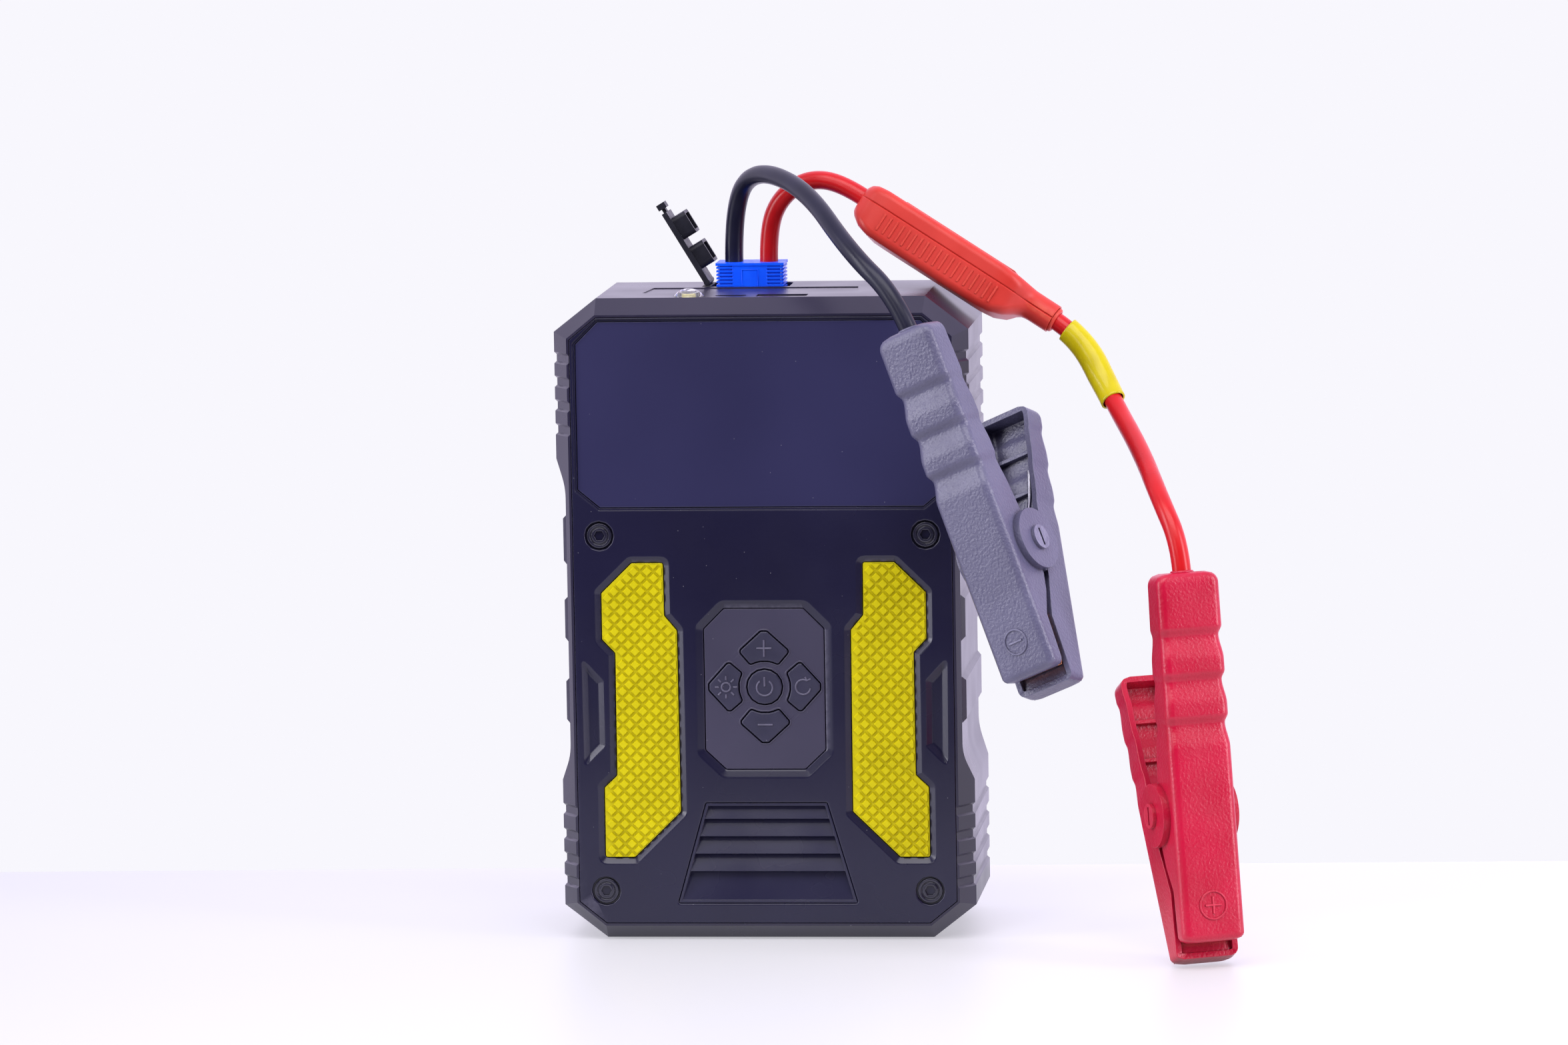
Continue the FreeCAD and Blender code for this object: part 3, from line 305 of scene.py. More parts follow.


# Some looks paint shade into corners and hollows, and some lighten convex edges as scuffing together with a
# painted highlight.
LOOKS = {
    "case_plastic": dict(
        deep=(0.016, 0.014, 0.036), pale=(0.021, 0.018, 0.044), rough=(0.26, 0.34), blotch=40.0,
        grain=0.28, relief=0.008, dust=0.25, specular=0.60, wear_and_highlight=0.2, worn_and_highlight_colour=(0.10, 0.09, 0.15)),
    "cover_plastic": dict(
        deep=(0.011, 0.010, 0.034), pale=(0.014, 0.013, 0.042), rough=(0.21, 0.29), blotch=40.0,
        grain=0.25, relief=0.006, dust=0.3, specular=0.50, wear_and_highlight=0.35, worn_and_highlight_colour=(0.16, 0.15, 0.22),
        painted_shade=(1.2, 0.35)),
    "screen_glass": dict(
        deep=(0.031, 0.030, 0.086), pale=(0.037, 0.036, 0.100), rough=(0.10, 0.14), blotch=60.0,
        relief=0.0, dust=0.25, coat=0.25, coat_rough=0.04, specular=0.35),
    "display_black": dict(deep=(0.010, 0.010, 0.012), pale=(0.016, 0.016, 0.02), rough=(0.5, 0.6)),
    "grip_rubber": dict(
        deep=(0.62, 0.54, 0.002), pale=(0.70, 0.61, 0.003), rough=(0.40, 0.50), blotch=9.0,
        grain=0.30, relief=0.004, specular=0.22, painted_shade=(1.6, 0.55)),
    # painted light: a lighter copy of the cover's plastic, so that the slats look lit from above
    "vent_painted_light_plastic": dict(
        deep=(0.016, 0.015, 0.044), pale=(0.020, 0.019, 0.052), rough=(0.22, 0.30), blotch=30.0,
        grain=0.25, relief=0.006, specular=0.55),
    # painted highlight: the raised signs are paler than their keys, standing in for light caught on their edges
    "sign_painted_highlight": dict(
        deep=(0.100, 0.094, 0.150), pale=(0.130, 0.122, 0.190), rough=(0.35, 0.45), blotch=4.0,
        relief=0.004),
    "panel_plastic": dict(
        deep=(0.046, 0.042, 0.080), pale=(0.054, 0.049, 0.092), rough=(0.36, 0.44), blotch=30.0,
        grain=0.22, relief=0.005, dust=0.3, painted_shade=(0.8, 0.25)),
    "key_rubber": dict(
        deep=(0.028, 0.027, 0.058), pale=(0.036, 0.034, 0.072), rough=(0.38, 0.48), blotch=6.0,
        grain=0.40, relief=0.022, dust=0.4, painted_shade=(0.9, 0.15)),
    "screw_black": dict(
        deep=(0.014, 0.013, 0.030), pale=(0.020, 0.019, 0.040), rough=(0.18, 0.26), blotch=3.0,
        relief=0.004, specular=0.7, painted_shade=(0.6, 0.1)),
    "port_plastic": dict(
        deep=(0.008, 0.008, 0.010), pale=(0.014, 0.014, 0.017), rough=(0.4, 0.55), relief=0.006,
        wear_and_highlight=0.2),
    "lens_clear": dict(
        deep=(0.92, 0.94, 0.98), pale=(0.97, 0.98, 1.0), rough=(0.03, 0.06), relief=0.0,
        transmission=0.92, ior=1.46),
    "led_yellow": dict(
        deep=(0.80, 0.68, 0.20), pale=(0.92, 0.84, 0.38), rough=(0.3, 0.4), blotch=1.2, relief=0.0,
        glow=((1.0, 0.88, 0.45), 0.25)),
    "contact_brass": dict(
        deep=(0.72, 0.52, 0.22), pale=(0.83, 0.66, 0.34), rough=(0.18, 0.3), metallic=1.0,
        relief=0.003),
    "cap_rubber": dict(
        deep=(0.012, 0.012, 0.020), pale=(0.020, 0.020, 0.032), rough=(0.36, 0.48), blotch=5.0,
        grain=0.3, relief=0.010, dust=0.35, specular=0.35, painted_shade=(1.5, 0.3)),
    "board_green": dict(deep=(0.015, 0.09, 0.03), pale=(0.03, 0.15, 0.06), rough=(0.3, 0.4)),
    "cell_foil": dict(
        deep=(0.35, 0.36, 0.38), pale=(0.45, 0.46, 0.48), rough=(0.3, 0.45), metallic=0.6,
        grain=2.0, relief=0.05),
    "motor_steel": dict(
        deep=(0.50, 0.50, 0.52), pale=(0.62, 0.62, 0.64), rough=(0.25, 0.4), metallic=1.0,
        stretch=(0.1, 1, 1)),
    "pump_aluminium": dict(
        deep=(0.55, 0.55, 0.57), pale=(0.68, 0.68, 0.70), rough=(0.35, 0.5), metallic=1.0,
        grain=0.5, relief=0.02),
    # painted light: the plug glows a little blue, though it is no lamp
    "plug_blue": dict(
        deep=(0.001, 0.085, 0.95), pale=(0.002, 0.110, 1.0), rough=(0.30, 0.42), blotch=5.0,
        grain=0.25, relief=0.008, specular=0.4, painted_shade=(0.8, 0.20), glow=((0.0, 0.07, 1.0), 0.19)),
    "wire_black": dict(
        deep=(0.009, 0.009, 0.026), pale=(0.013, 0.013, 0.036), rough=(0.28, 0.38), blotch=12.0,
        grain=0.5, relief=0.006, dust=0.08, specular=0.36),
    "wire_red": dict(
        deep=(0.58, 0.006, 0.010), pale=(0.68, 0.010, 0.014), rough=(0.26, 0.36), blotch=12.0,
        grain=0.5, relief=0.002, specular=0.4),
    "module_red": dict(
        deep=(0.62, 0.036, 0.026), pale=(0.70, 0.048, 0.036), rough=(0.34, 0.46), blotch=14.0,
        grain=0.30, relief=0.012, wear_and_highlight=0.3, worn_and_highlight_colour=(0.90, 0.20, 0.11), specular=0.35,
        painted_shade=(1.2, 0.40)),
    "sleeve_yellow": dict(
        deep=(0.60, 0.49, 0.002), pale=(0.68, 0.57, 0.003), rough=(0.24, 0.34), blotch=6.0,
        grain=1.6, relief=0.010, coat=0.15, coat_rough=0.08, specular=0.28),
    "clamp_black": dict(
        deep=(0.105, 0.100, 0.180), pale=(0.125, 0.120, 0.210), rough=(0.30, 0.38), blotch=16.0,
        grain=0.80, relief=0.210, wear_and_highlight=0.40, worn_and_highlight_colour=(0.42, 0.41, 0.58), specular=0.65,
        painted_shade=(6.0, 0.12)),
    "clamp_red": dict(
        deep=(0.49, 0.003, 0.032), pale=(0.57, 0.005, 0.044), rough=(0.28, 0.36), blotch=16.0,
        grain=0.80, relief=0.120, wear_and_highlight=0.40, worn_and_highlight_colour=(0.88, 0.08, 0.14), painted_shade=(6.0, 0.30)),
    "spring_steel": dict(
        deep=(0.62, 0.62, 0.66), pale=(0.78, 0.78, 0.82), rough=(0.14, 0.24), blotch=2.0,
        metallic=1.0, relief=0.004, stretch=(1, 0.2, 1)),
    "jaw_copper": dict(
        deep=(0.78, 0.30, 0.16), pale=(0.92, 0.45, 0.28), rough=(0.20, 0.34), blotch=3.0,
        metallic=1.0, relief=0.006),
}
MATERIALS = {name: surface(name, **look) for name, look in LOOKS.items()}


# ---------------------------------------------------------------- mesh helpers
def edges_of(points):
    """The two ends of each edge of an outline."""
    return list(zip(points, points[1:] + points[:1]))


def area(points):
    return sum(a[0] * b[1] - b[0] * a[1] for a, b in edges_of(points)) / 2


def winding(points):
    """1 where an outline runs anticlockwise, or else -1."""
    return 1.0 if area(points) > 0 else -1.0


def with_neighbours(points):
    """Each point of an outline, between the one before it and the one after it."""
    return zip(points[-1:] + points[:-1], points, points[1:] + points[:1])


def ring_points(radius, steps):
    """Points of a circle round the origin."""
    return [(radius * math.cos(a), radius * math.sin(a))
            for a in (2 * math.pi * k / steps for k in range(steps))]


def grown(points, distance):
    """The outline moved outward by distance (inward if it is negative), with mitred corners."""
    turn = winding(points)
    result = []
    for before, here, after in with_neighbours(points):
        first = (Vector(here) - Vector(before)).normalized()
        second = (Vector(after) - Vector(here)).normalized()
        out_1 = Vector((first.y, -first.x)) * turn
        out_2 = Vector((second.y, -second.x)) * turn
        mitre = (out_1 + out_2) / (1.0 + out_1.dot(out_2))
        result.append((here[0] + mitre.x * distance, here[1] + mitre.y * distance))
    return result


CORNER_STEPS = 4
CORNER_LEAST = 0.08           # the smallest corner radius
CORNER_SHARE = 0.45           # the most of an edge that one corner takes up


def rounded(points, radius, grow):
    """The outline grown by a distance, with each corner turned into an arc.

    An outer corner's arc grows with the outline and an inner corner's arc shrinks.
    """
    turn = winding(points)
    result = []
    for before, here, after in with_neighbours(grown(points, grow)):
        here = Vector(here)
        into, out = here - Vector(before), Vector(after) - here
        bend = into.angle_signed(out)
        wanted = max(CORNER_LEAST, radius + (grow if bend * turn < 0 else -grow))
        reach = min(wanted * math.tan(abs(bend) / 2),
                    CORNER_SHARE * min(into.length, out.length))
        start = here - into.normalized() * reach
        end = here + out.normalized() * reach
        for k in range(CORNER_STEPS + 1):
            t = k / CORNER_STEPS
            place = start * (1 - t) ** 2 + here * 2 * t * (1 - t) + end * t ** 2
            result.append((place.x, place.y))
    return result


def mirrored(points):
    return [(-x, z) for x, z in points]


def both_sides(points):
    """A right-hand run of points, top to bottom, closed with its mirror image."""
    return points + mirrored(points)[::-1]


def circle_outline(x, z, radius, steps=12):
    return [(x + a, z + b) for a, b in ring_points(radius, steps)]


class Sheet:
    """Builds a moulded plate seen from the front: loops at given depths, walls and flat faces."""

    def __init__(self):
        self.work = bmesh.new()

    def loop(self, outline, depth):
        return [self.work.verts.new((x, FRONT + depth, z)) for x, z in outline]

    def bridge(self, loops):
        """Faces between each loop and the next."""
        faces = []
        for upper, lower in zip(loops[:-1], loops[1:]):
            for (a, b), (c, d) in zip(edges_of(upper), edges_of(lower)):
                faces.append(self.work.faces.new((a, b, d, c)))
        return faces

    def walls(self, outline, profile, radius):
        """Walls along an outline through (grow, depth) stations. Returns first and last loop."""
        loops = [self.loop(rounded(outline, radius, grow), depth) for grow, depth in profile]
        self.bridge(loops)
        return loops[0], loops[-1]

    def cap(self, loop):
        self.work.faces.new(loop)

    def plate(self, outline, profile, radius):
        """Walls along an outline, closed by a flat face at both ends."""
        for loop in self.walls(outline, profile, radius):
            self.cap(loop)

    def fill(self, loops):
        """A flat face bounded by the first loop, with the other loops as holes."""
        edges = []
        for loop in loops:
            for ends in edges_of(loop):
                edges.append(self.work.edges.get(ends) or self.work.edges.new(ends))
        bmesh.ops.triangle_fill(self.work, use_beauty=True, use_dissolve=False, edges=edges,
                                normal=(0, -1, 0))

    def stud(self, centre, foot):
        """A raised stud with sharp edges, from its foot's outline."""
        loops = [self.loop([(centre[0] + (x - centre[0]) * size,
                             centre[1] + (z - centre[1]) * size) for x, z in foot], depth)
                 for size, depth in STUD_STATIONS]
        for face in [self.work.faces.new(loops[-1])] + self.bridge(loops):
            for edge in face.edges:
                edge.smooth = False

    def piece(self, name, slot, body, node):
        """The finished piece, which stands for a CAD node."""
        bmesh.ops.recalc_face_normals(self.work, faces=self.work.faces)
        for vertex in self.work.verts:
            vertex.co *= MM
        mesh = bpy.data.meshes.new(name)
        self.work.to_mesh(mesh)
        self.work.free()
        mesh.materials.append(MATERIALS[slot])
        made = in_scene(name, mesh)
        finish_mesh(made)
        attach(made, body, node)


def attach(piece, body, node=None):
    """Makes a piece ride on a body and hides the CAD node that it stands for."""
    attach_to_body(piece, body)
    if node:
        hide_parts(node)


def finish_mesh(piece, bevel=0.0, segments=3, angle=28.0):
    """Smooth shading, rounded edges and normals that keep flat faces flat."""
    for polygon in piece.data.polygons:
        polygon.use_smooth = True
    if bevel:
        edge = piece.modifiers.new("edge", "BEVEL")
        edge.width = bevel * MM
        edge.segments = segments
        edge.limit_method = "ANGLE"
        edge.angle_limit = math.radians(angle)
        edge.miter_outer = "MITER_ARC"
    normals = piece.modifiers.new("normals", "WEIGHTED_NORMAL")
    normals.weight = 60
    normals.keep_sharp = True


def mesh_piece(name, slot, body, skin, placement=Matrix.Identity(4), bevel=0.0, segments=3,
               angle=28.0, node=None):
    """A piece from a skin in mm, placed in the row frame, that rides on a body."""
    points, faces = skin
    mesh = bpy.data.meshes.new(name)
    mesh.from_pydata([placement @ (Vector(p) * MM) for p in points], [], faces)
    work = bmesh.new()
    work.from_mesh(mesh)
    bmesh.ops.remove_doubles(work, verts=work.verts, dist=1e-7)
    bmesh.ops.recalc_face_normals(work, faces=work.faces)
    work.to_mesh(mesh)
    work.free()
    mesh.materials.append(MATERIALS[slot])
    piece = in_scene(name, mesh)
    finish_mesh(piece, bevel, segments, angle)
    attach(piece, body, node)


def loft(rings, close_ends=True):
    """A skin, as points and faces, over closed rings of the same number of points."""
    points = [p for ring in rings for p in ring]
    count = len(rings[0])
    faces = []
    for k in range(len(rings) - 1):
        for i in range(count):
            j = (i + 1) % count
            faces.append((k * count + i, k * count + j, (k + 1) * count + j, (k + 1) * count + i))
    if close_ends:
        faces.append(tuple(range(count)))
        faces.append(tuple(range((len(rings) - 1) * count, len(rings) * count)))
    return points, faces


def joined(parts):
    """Several skins as one."""
    points, faces = [], []
    for some_points, some_faces in parts:
        start = len(points)
        points += list(some_points)
        faces += [tuple(start + i for i in face) for face in some_faces]
    return points, faces


def prism(outline, low, high, axis):
    """An outline in two coordinates, drawn out along the third from low to high.

    Axis is the index of the coordinate that the prism runs along.
    """
    return loft([[point[:axis] + (along,) + point[axis:] for point in outline]
                 for along in (low, high)])


def rectangle(x0, z0, x1, z1):
    return [(x0, z0), (x1, z0), (x1, z1), (x0, z1)]


def arc(centre, radius, start, end, steps):
    """Points of an arc, with angles in degrees."""
    return [(centre[0] + radius * math.cos(math.radians(start + (end - start) * k / steps)),
             centre[1] + radius * math.sin(math.radians(start + (end - start) * k / steps)))
            for k in range(steps + 1)]


def along_line(stations, x):
    """The value at x in a list of (x, value) pairs, in straight lines between them."""
    for (x0, v0), (x1, v1) in zip(stations[:-1], stations[1:]):
        if x <= x1:
            return v0 + (v1 - v0) * max(0.0, (x - x0) / (x1 - x0))
    return stations[-1][1]


def frame_of(origin, along, pin):
    """Placement in metres whose X runs along a piece, Y along its pin and Z out of its back."""
    x_axis = Vector(along).normalized()
    y_axis = (Vector(pin) - x_axis * Vector(pin).dot(x_axis)).normalized()
    z_axis = x_axis.cross(y_axis)
    turn = Matrix((x_axis, y_axis, z_axis)).transposed().to_4x4()
    return Matrix.Translation(Vector(origin)) @ turn


def round_curve(name, radius, resolution, look):
    """Data for a round curve in a material, with no splines yet."""
    data = bpy.data.curves.new(name, "CURVE")
    data.dimensions = "3D"
    data.bevel_depth = radius * MM
    data.bevel_resolution = resolution
    data.use_fill_caps = True
    data.materials.append(MATERIALS[look])
    return data


def round_lines(name, lines, radius, look, placement=Matrix.Identity(4), closed=False):
    """Round lines through the given points, as one curve object in a material."""
    data = round_curve(name, radius, 2, look)
    for line in lines:
        spline = data.splines.new("POLY")
        spline.points.add(len(line) - 1)
        for point, place in zip(spline.points, line):
            point.co = (*(placement @ (Vector(place) * MM)), 1)
        spline.use_cyclic_u = closed
    return in_scene(name, data)


def bead(name, slot, body, lines, radius, placement=Matrix.Identity(4), closed=False, look=None):
    """Thin raised round lines, such as an embossed symbol, as one curve piece.

    Look is the material where it isn't the slot's own.
    """
    attach(round_lines(name, lines, radius, look or slot, placement, closed), body)


# ---------------------------------------------------------------- carried-over CAD nodes
WELD_DISTANCE = 2e-6
PAINTED = {                   # nodes that don't look like their slot's name
    "clamp_black_pin": "clamp_black", "clamp_red_pin": "clamp_red", "vent_grille": "vent_painted_light_plastic",
}
KEEP_TRIANGLES = ("housing", "socket_cap")   # they have faces with holes
EDGE_WIDTHS = {
    "housing": 0.40, "vent_grille": 0.30,
    "usb_a_port": 0.15, "usb_c_port": 0.12, "socket_block": 0.20, "socket_cap": 0.30,
    "plug_shell": 0.14, "torch_lens": 0.12,
    **{f"clamp_{colour}_jaw_{end}": 0.12
       for colour in ("black", "red") for end in ("cable", "free")},
}


def soften(name, width):
    """Gives a CAD node rounded edges and clean shading, by modifiers only."""
    piece = NODES[name]
    piece.modifiers.new("weld", "WELD").merge_threshold = WELD_DISTANCE
    if name not in KEEP_TRIANGLES:
        flat = piece.modifiers.new("flat", "DECIMATE")
        flat.decimate_type = "DISSOLVE"
        flat.angle_limit = math.radians(1.0)
    finish_mesh(piece, width, segments=2, angle=30.0)


def crisp(name):
    """Hard edges between a CAD node's flat faces."""
    piece = NODES[name]
    piece.modifiers.new("weld", "WELD").merge_threshold = WELD_DISTANCE
    split = piece.modifiers.new("split", "EDGE_SPLIT")
    split.split_angle = math.radians(18)
    split.use_edge_sharp = False


def dress_cad_nodes():
    """Gives each CAD node its slot's material from the record, or the one named in PAINTED."""
    for part in frame["record"]["subparts"]:
        piece = NODES[part["node"]]
        piece.data.materials.clear()
        slot = PAINTED.get(part["node"], part["material_slot"])
        piece.data.materials.append(MATERIALS[slot])
        for polygon in piece.data.polygons:
            polygon.material_index = 0


# ---------------------------------------------------------------- the lead's wires
WIRE_RADIUS = 2.75
BLACK_ALONG = (0.35, -0.18, -0.92)
RED_ALONG = (0.07, -0.12, -0.99)
CLAMPS = {
    "black": frame_of(JOINTS["black_jaw"]["pos_m"], BLACK_ALONG, JOINTS["black_jaw"]["axis"]),
    "red": frame_of(JOINTS["red_jaw"]["pos_m"], RED_ALONG, JOINTS["red_jaw"]["axis"]),
}
MODULE = frame_of((0.0565, 0.0015, 0.1984), (0.84, -0.15, -0.53), (0.03, 0.98, -0.22))
MODULE_REACH = 33.5
WIRE_ENTRY = Vector((-0.0674, 0, 0.008))
MODULE_LEFT = MODULE @ Vector((-MODULE_REACH * MM, 0, 0))
MODULE_RIGHT = MODULE @ Vector((MODULE_REACH * MM, 0, 0))

BLACK_ROUTE = [
    (-0.0119, 0.01575, 0.1969), (-0.0119, 0.01575, 0.2145), (-0.0040, 0.0050, 0.2255),
    (0.0132, -0.0190, 0.2215), (0.0287, -0.0450, 0.2045), (0.0423, -0.0535, 0.1925),
    tuple(CLAMPS["black"] @ WIRE_ENTRY)]
RED_FEED_ROUTE = [
    (-0.0015, 0.01575, 0.1969), (-0.0015, 0.01575, 0.2069), (0.0026, 0.0136, 0.2162),
    (0.0110, 0.0105, 0.2218), (0.0210, 0.0082, 0.2209), tuple(MODULE_LEFT)]
RED_TAIL_ROUTE = [
    tuple(MODULE_RIGHT), (0.0936, -0.0052, 0.1749), (0.1022, -0.0130, 0.1578),
    (0.1117, -0.0360, 0.1455), (0.1185, -0.0580, 0.1338), (0.1245, -0.0658, 0.1215),
    tuple(CLAMPS["red"] @ WIRE_ENTRY)]


def lay(data, route):
    """Adds one smooth open spline along a route to curve data."""
    data.resolution_u = 24
    spline = data.splines.new("NURBS")
    spline.points.add(len(route) - 1)
    for point, place in zip(spline.points, route):
        point.co = (*place, 1)
    spline.order_u = 3
    spline.use_endpoint_u = True


def wire(colour, route, stretch=""):
    """One wire of the lead as a smooth spline along its route."""
    slot = "wire_" + colour
    node = slot + stretch
    data = round_curve("lead_" + node, WIRE_RADIUS, 6, slot)
    lay(data, route)
    piece = in_scene("lead_" + node, data)
    attach(piece, "lead", node)
    return piece


def centreline(route):
    """Points along the spline of a route."""
    data = bpy.data.curves.new("line", "CURVE")
    data.dimensions = "3D"
    lay(data, route)
    holder = in_scene("line", data)
    mesh = bpy.data.meshes.new_from_object(holder)
    points = [vertex.co.copy() for vertex in mesh.vertices]
    bpy.data.objects.remove(holder)
    bpy.data.meshes.remove(mesh)
    return points


SLEEVE_START = 5.0            # distance along the red wire from the module
SLEEVE_LENGTH = 27.5
SLEEVE_SIDES = 28
SLEEVE_RADIUS = 3.35
SLEEVE_FIN = 0.45             # how far its pressed sides stand out
SLEEVE_SWELL = 0.35           # how much wider its middle is
SLEEVE_FLATNESS = 0.93
SLEEVE_BORE = 0.86            # of its end's size


def build_sleeve():
    """A tight plastic wrap on the red wire, with flats where it is pressed together."""
    line = centreline(RED_TAIL_ROUTE)
    travelled = 0.0
    chosen = []
    for before, here in zip(line[:-1], line[1:]):
        travelled += (here - before).length / MM
        if SLEEVE_START <= travelled <= SLEEVE_START + SLEEVE_LENGTH:
            chosen.append((here, (here - before).normalized(), travelled - SLEEVE_START))
    rings = []
    for place, along, at in chosen:
        side = along.cross(Vector((0, -1, 0))).normalized()
        front = side.cross(along).normalized()
        ring = []
        swell = SLEEVE_SWELL * math.sin(math.pi * min(1.0, at / SLEEVE_LENGTH)) ** 2
        for k in range(SLEEVE_SIDES):
            angle = 2 * math.pi * k / SLEEVE_SIDES
            across = (SLEEVE_RADIUS + SLEEVE_FIN * abs(math.cos(angle)) ** 3
                      + swell * max(0, math.cos(angle)))
            ripple = 0.02 * math.sin(3 * angle + at * 0.5)
            radius = (across + ripple) * MM
            ring.append((place + side * math.cos(angle) * radius
                         + front * math.sin(angle) * radius * SLEEVE_FLATNESS) / MM)
        rings.append(ring)
    inner = [[(point - end[0] / MM) * SLEEVE_BORE + end[0] / MM for point in ring]
             for ring, end in ((rings[0], chosen[0]), (rings[-1], chosen[-1]))]
    mesh_piece("marker_sleeve", "sleeve_yellow", "lead",
               loft([inner[0]] + rings + [inner[1]], close_ends=False), node="cable_sleeve")


# ---------------------------------------------------------------- the module on the red wire
MODULE_STATIONS = {           # along it: half width, depth and height from its seam, corner radius
    "width": [(-33.5, 6.0), (-32.6, 7.4), (-30.5, 9.3), (-27.5, 10.3), (-24, 10.5),
              (14, 10.5), (18, 10.0), (21, 8.6), (23.2, 6.2), (24.6, 4.9), (26.5, 4.35),
              (33.5, 4.3)],
    "low": [(-33.5, 5.3), (-32.4, 6.4), (-29.5, 8.3), (-26, 9.3), (-22, 9.4), (12, 9.4),
            (17, 8.9), (21, 7.4), (23.5, 5.3), (25.2, 4.5), (27, 4.3), (33.5, 4.3)],
    "high": [(-33.5, 3.2), (-32.6, 4.2), (-30.5, 5.0), (-27, 5.3), (14, 5.3), (19, 5.0),
             (22.5, 4.6), (25, 4.35), (33.5, 4.3)],
    "corner": [(-33.5, 2.6), (-28, 2.4), (14, 2.4), (22, 3.2), (26, 4.1), (33.5, 4.29)],
}
MODULE_STEPS = ([-33.5, -33.0, -32.4, -31.6, -30.6, -29.5, -28.3, -27, -25.5, -24, -22]
                + [-18 + 4 * k for k in range(8)]
                + [12.5, 14, 15.6, 17, 18.4, 19.7, 20.9, 21.9, 22.7, 23.4, 24.2, 25, 26, 27.2,
                   28.4, 33.0, 33.5])
SEAM = 0.32                   # width of the bevel at the seam
TICKS = [-24 + 2.2 * k for k in range(19)]
TICK_RISE = 0.30
COLLAR = ((33.45, 3.0), (33.45, 3.9), (34.3, 3.75), (34.6, 3.3), (34.6, 2.8))


def module_ring(x, sign):
    """Half of the module's section at x: a rounded arch that ends in a bevel at the seam."""
    half = along_line(MODULE_STATIONS["width"], x)
    rise = along_line(MODULE_STATIONS["high" if sign > 0 else "low"], x)
    corner = min(along_line(MODULE_STATIONS["corner"], x), rise - SEAM - 0.05, half - 0.3)
    arch = [(-half + SEAM, 0.0), (-half, SEAM)]
    arch += arc((-half + corner, rise - corner), corner, 180, 90, 8)
    arch += arc((half - corner, rise - corner), corner, 90, 0, 8)
    arch += [(half, SEAM), (half - SEAM, 0.0)]
    return [(x, y, z * sign) for y, z in arch]


def build_module():
    """Both halves of the module, its ticks, the raised frame on its back and its tail's collar."""
    for name, node, sign in (("module_upper", "module_lid", 1),
                             ("module_lower", "module_base", -1)):
        mesh_piece(name, "module_red", "lead", loft([module_ring(x, sign) for x in MODULE_STEPS]),
                   MODULE, bevel=0.22, segments=2, angle=35, node=node)
    half = along_line(MODULE_STATIONS["width"], 0)
    ticks = [prism(rectangle(side - TICK_RISE, -6.6, side + TICK_RISE, -1.2), x, x + 0.6, 0)
             for x in TICKS for side in (-half, half)]
    mesh_piece("module_ticks", "module_red", "lead", joined(ticks), MODULE, bevel=0.10,
               segments=2)
    top = max(height for x, height in MODULE_STATIONS["high"])
    outline = rectangle(-21, -6.6, 17, 2.8)
    bead("module_frame_line", "module_red", "lead",
         [[(x, y, top) for x, y in outline + outline[:1]]], 0.24, MODULE)
    collar = [[(x, y, z) for y, z in ring_points(radius, 32)] for x, radius in COLLAR]
    mesh_piece("module_collar", "module_red", "lead", loft(collar, close_ends=False), MODULE)


# ---------------------------------------------------------------- the clamps
CLAMP_OPEN = math.radians(20.7)
CLAMP_WIDTH = 9.6             # half of it
CLAMP_WALL = 1.8
CLAMP_CORNER = 2.3            # radius of the back's long edges
CLAMP_STEP = 0.6              # between two sections
TAIL_RADIUS = 3.4
NOSE_RADIUS = 2.2
GROOVE_LENGTH = 9.6
GROOVE_LEAD = 4.6             # from a groove's start to its middle
GROOVE_FALL = 0.28            # the share of its length in which it falls

HANDLE_ENDS = (-69.4, 37.0)   # the half that holds the wire
HANDLE_BACK = [(-69.4, 13.4), (35.4, 13.2), (37.0, 12.6)]
HANDLE_RIM = [(-69.4, 5.0), (-20, 2.2), (-10, 0.8), (10, 0.8), (15, 2.8), (22, 7.2), (37, 8.2)]
HANDLE_GROOVES = (-49.0, -36.1, -23.6)
WIRE_BOSS = ((-69.9, 2.9), (-69.9, 3.2), (-69.4, 3.5), (-62, 3.5), (-62, 2.9))
WIRE_HEIGHT = 8.0

LEVER_ENDS = (-46.2, 41.0)    # the free half
LEVER_BACK = [(-46.2, -16.2), (39.4, -16.2), (41.0, -15.4)]
LEVER_RIM = [(-46.2, -8.4), (-12, -5.5), (10, -5.2), (23, -3.6), (37.3, -8.0), (41, -9.2)]
LEVER_GROOVES = (-36.0, -24.0, -12.5)


def scallop(x, centres):
    """Share of a finger groove's depth at x: steep on the tail's side, then a slow rise."""
    depth = 0.0
    for centre in centres:
        at = (x - (centre - GROOVE_LEAD)) / GROOVE_LENGTH
        if 0 < at < 1:
            fall = min(1.0, at / GROOVE_FALL)
            rise = 1.0 if at < GROOVE_FALL else (1 - at) / (1 - GROOVE_FALL)
            depth = max(depth, fall * fall * (3 - 2 * fall) * (rise * rise * (3 - 2 * rise)))
    return depth


def end_rounding(distance, radius):
    """How far a rounded end has turned in at a distance from it."""
    share = max(0.0, 1.0 - distance / radius)
    return radius * (1.0 - math.sqrt(1.0 - share * share))


def arch_section(half, height, edge, corner, sign):
    """Across a channel: up one side, over the rounded back and down the other side."""
    drop = height - sign * corner
    left = [(-half, edge + (drop - edge) * k / 4) for k in range(4)]
    over = [(-half + corner - corner * math.cos(t), drop + sign * corner * math.sin(t))
            for t in (math.pi / 2 * k / 7 for k in range(8))]
    top = [(-half + corner + (2 * half - 2 * corner) * k / 6, height) for k in range(1, 6)]
    return left + over + top + mirrored(left + over)[::-1]


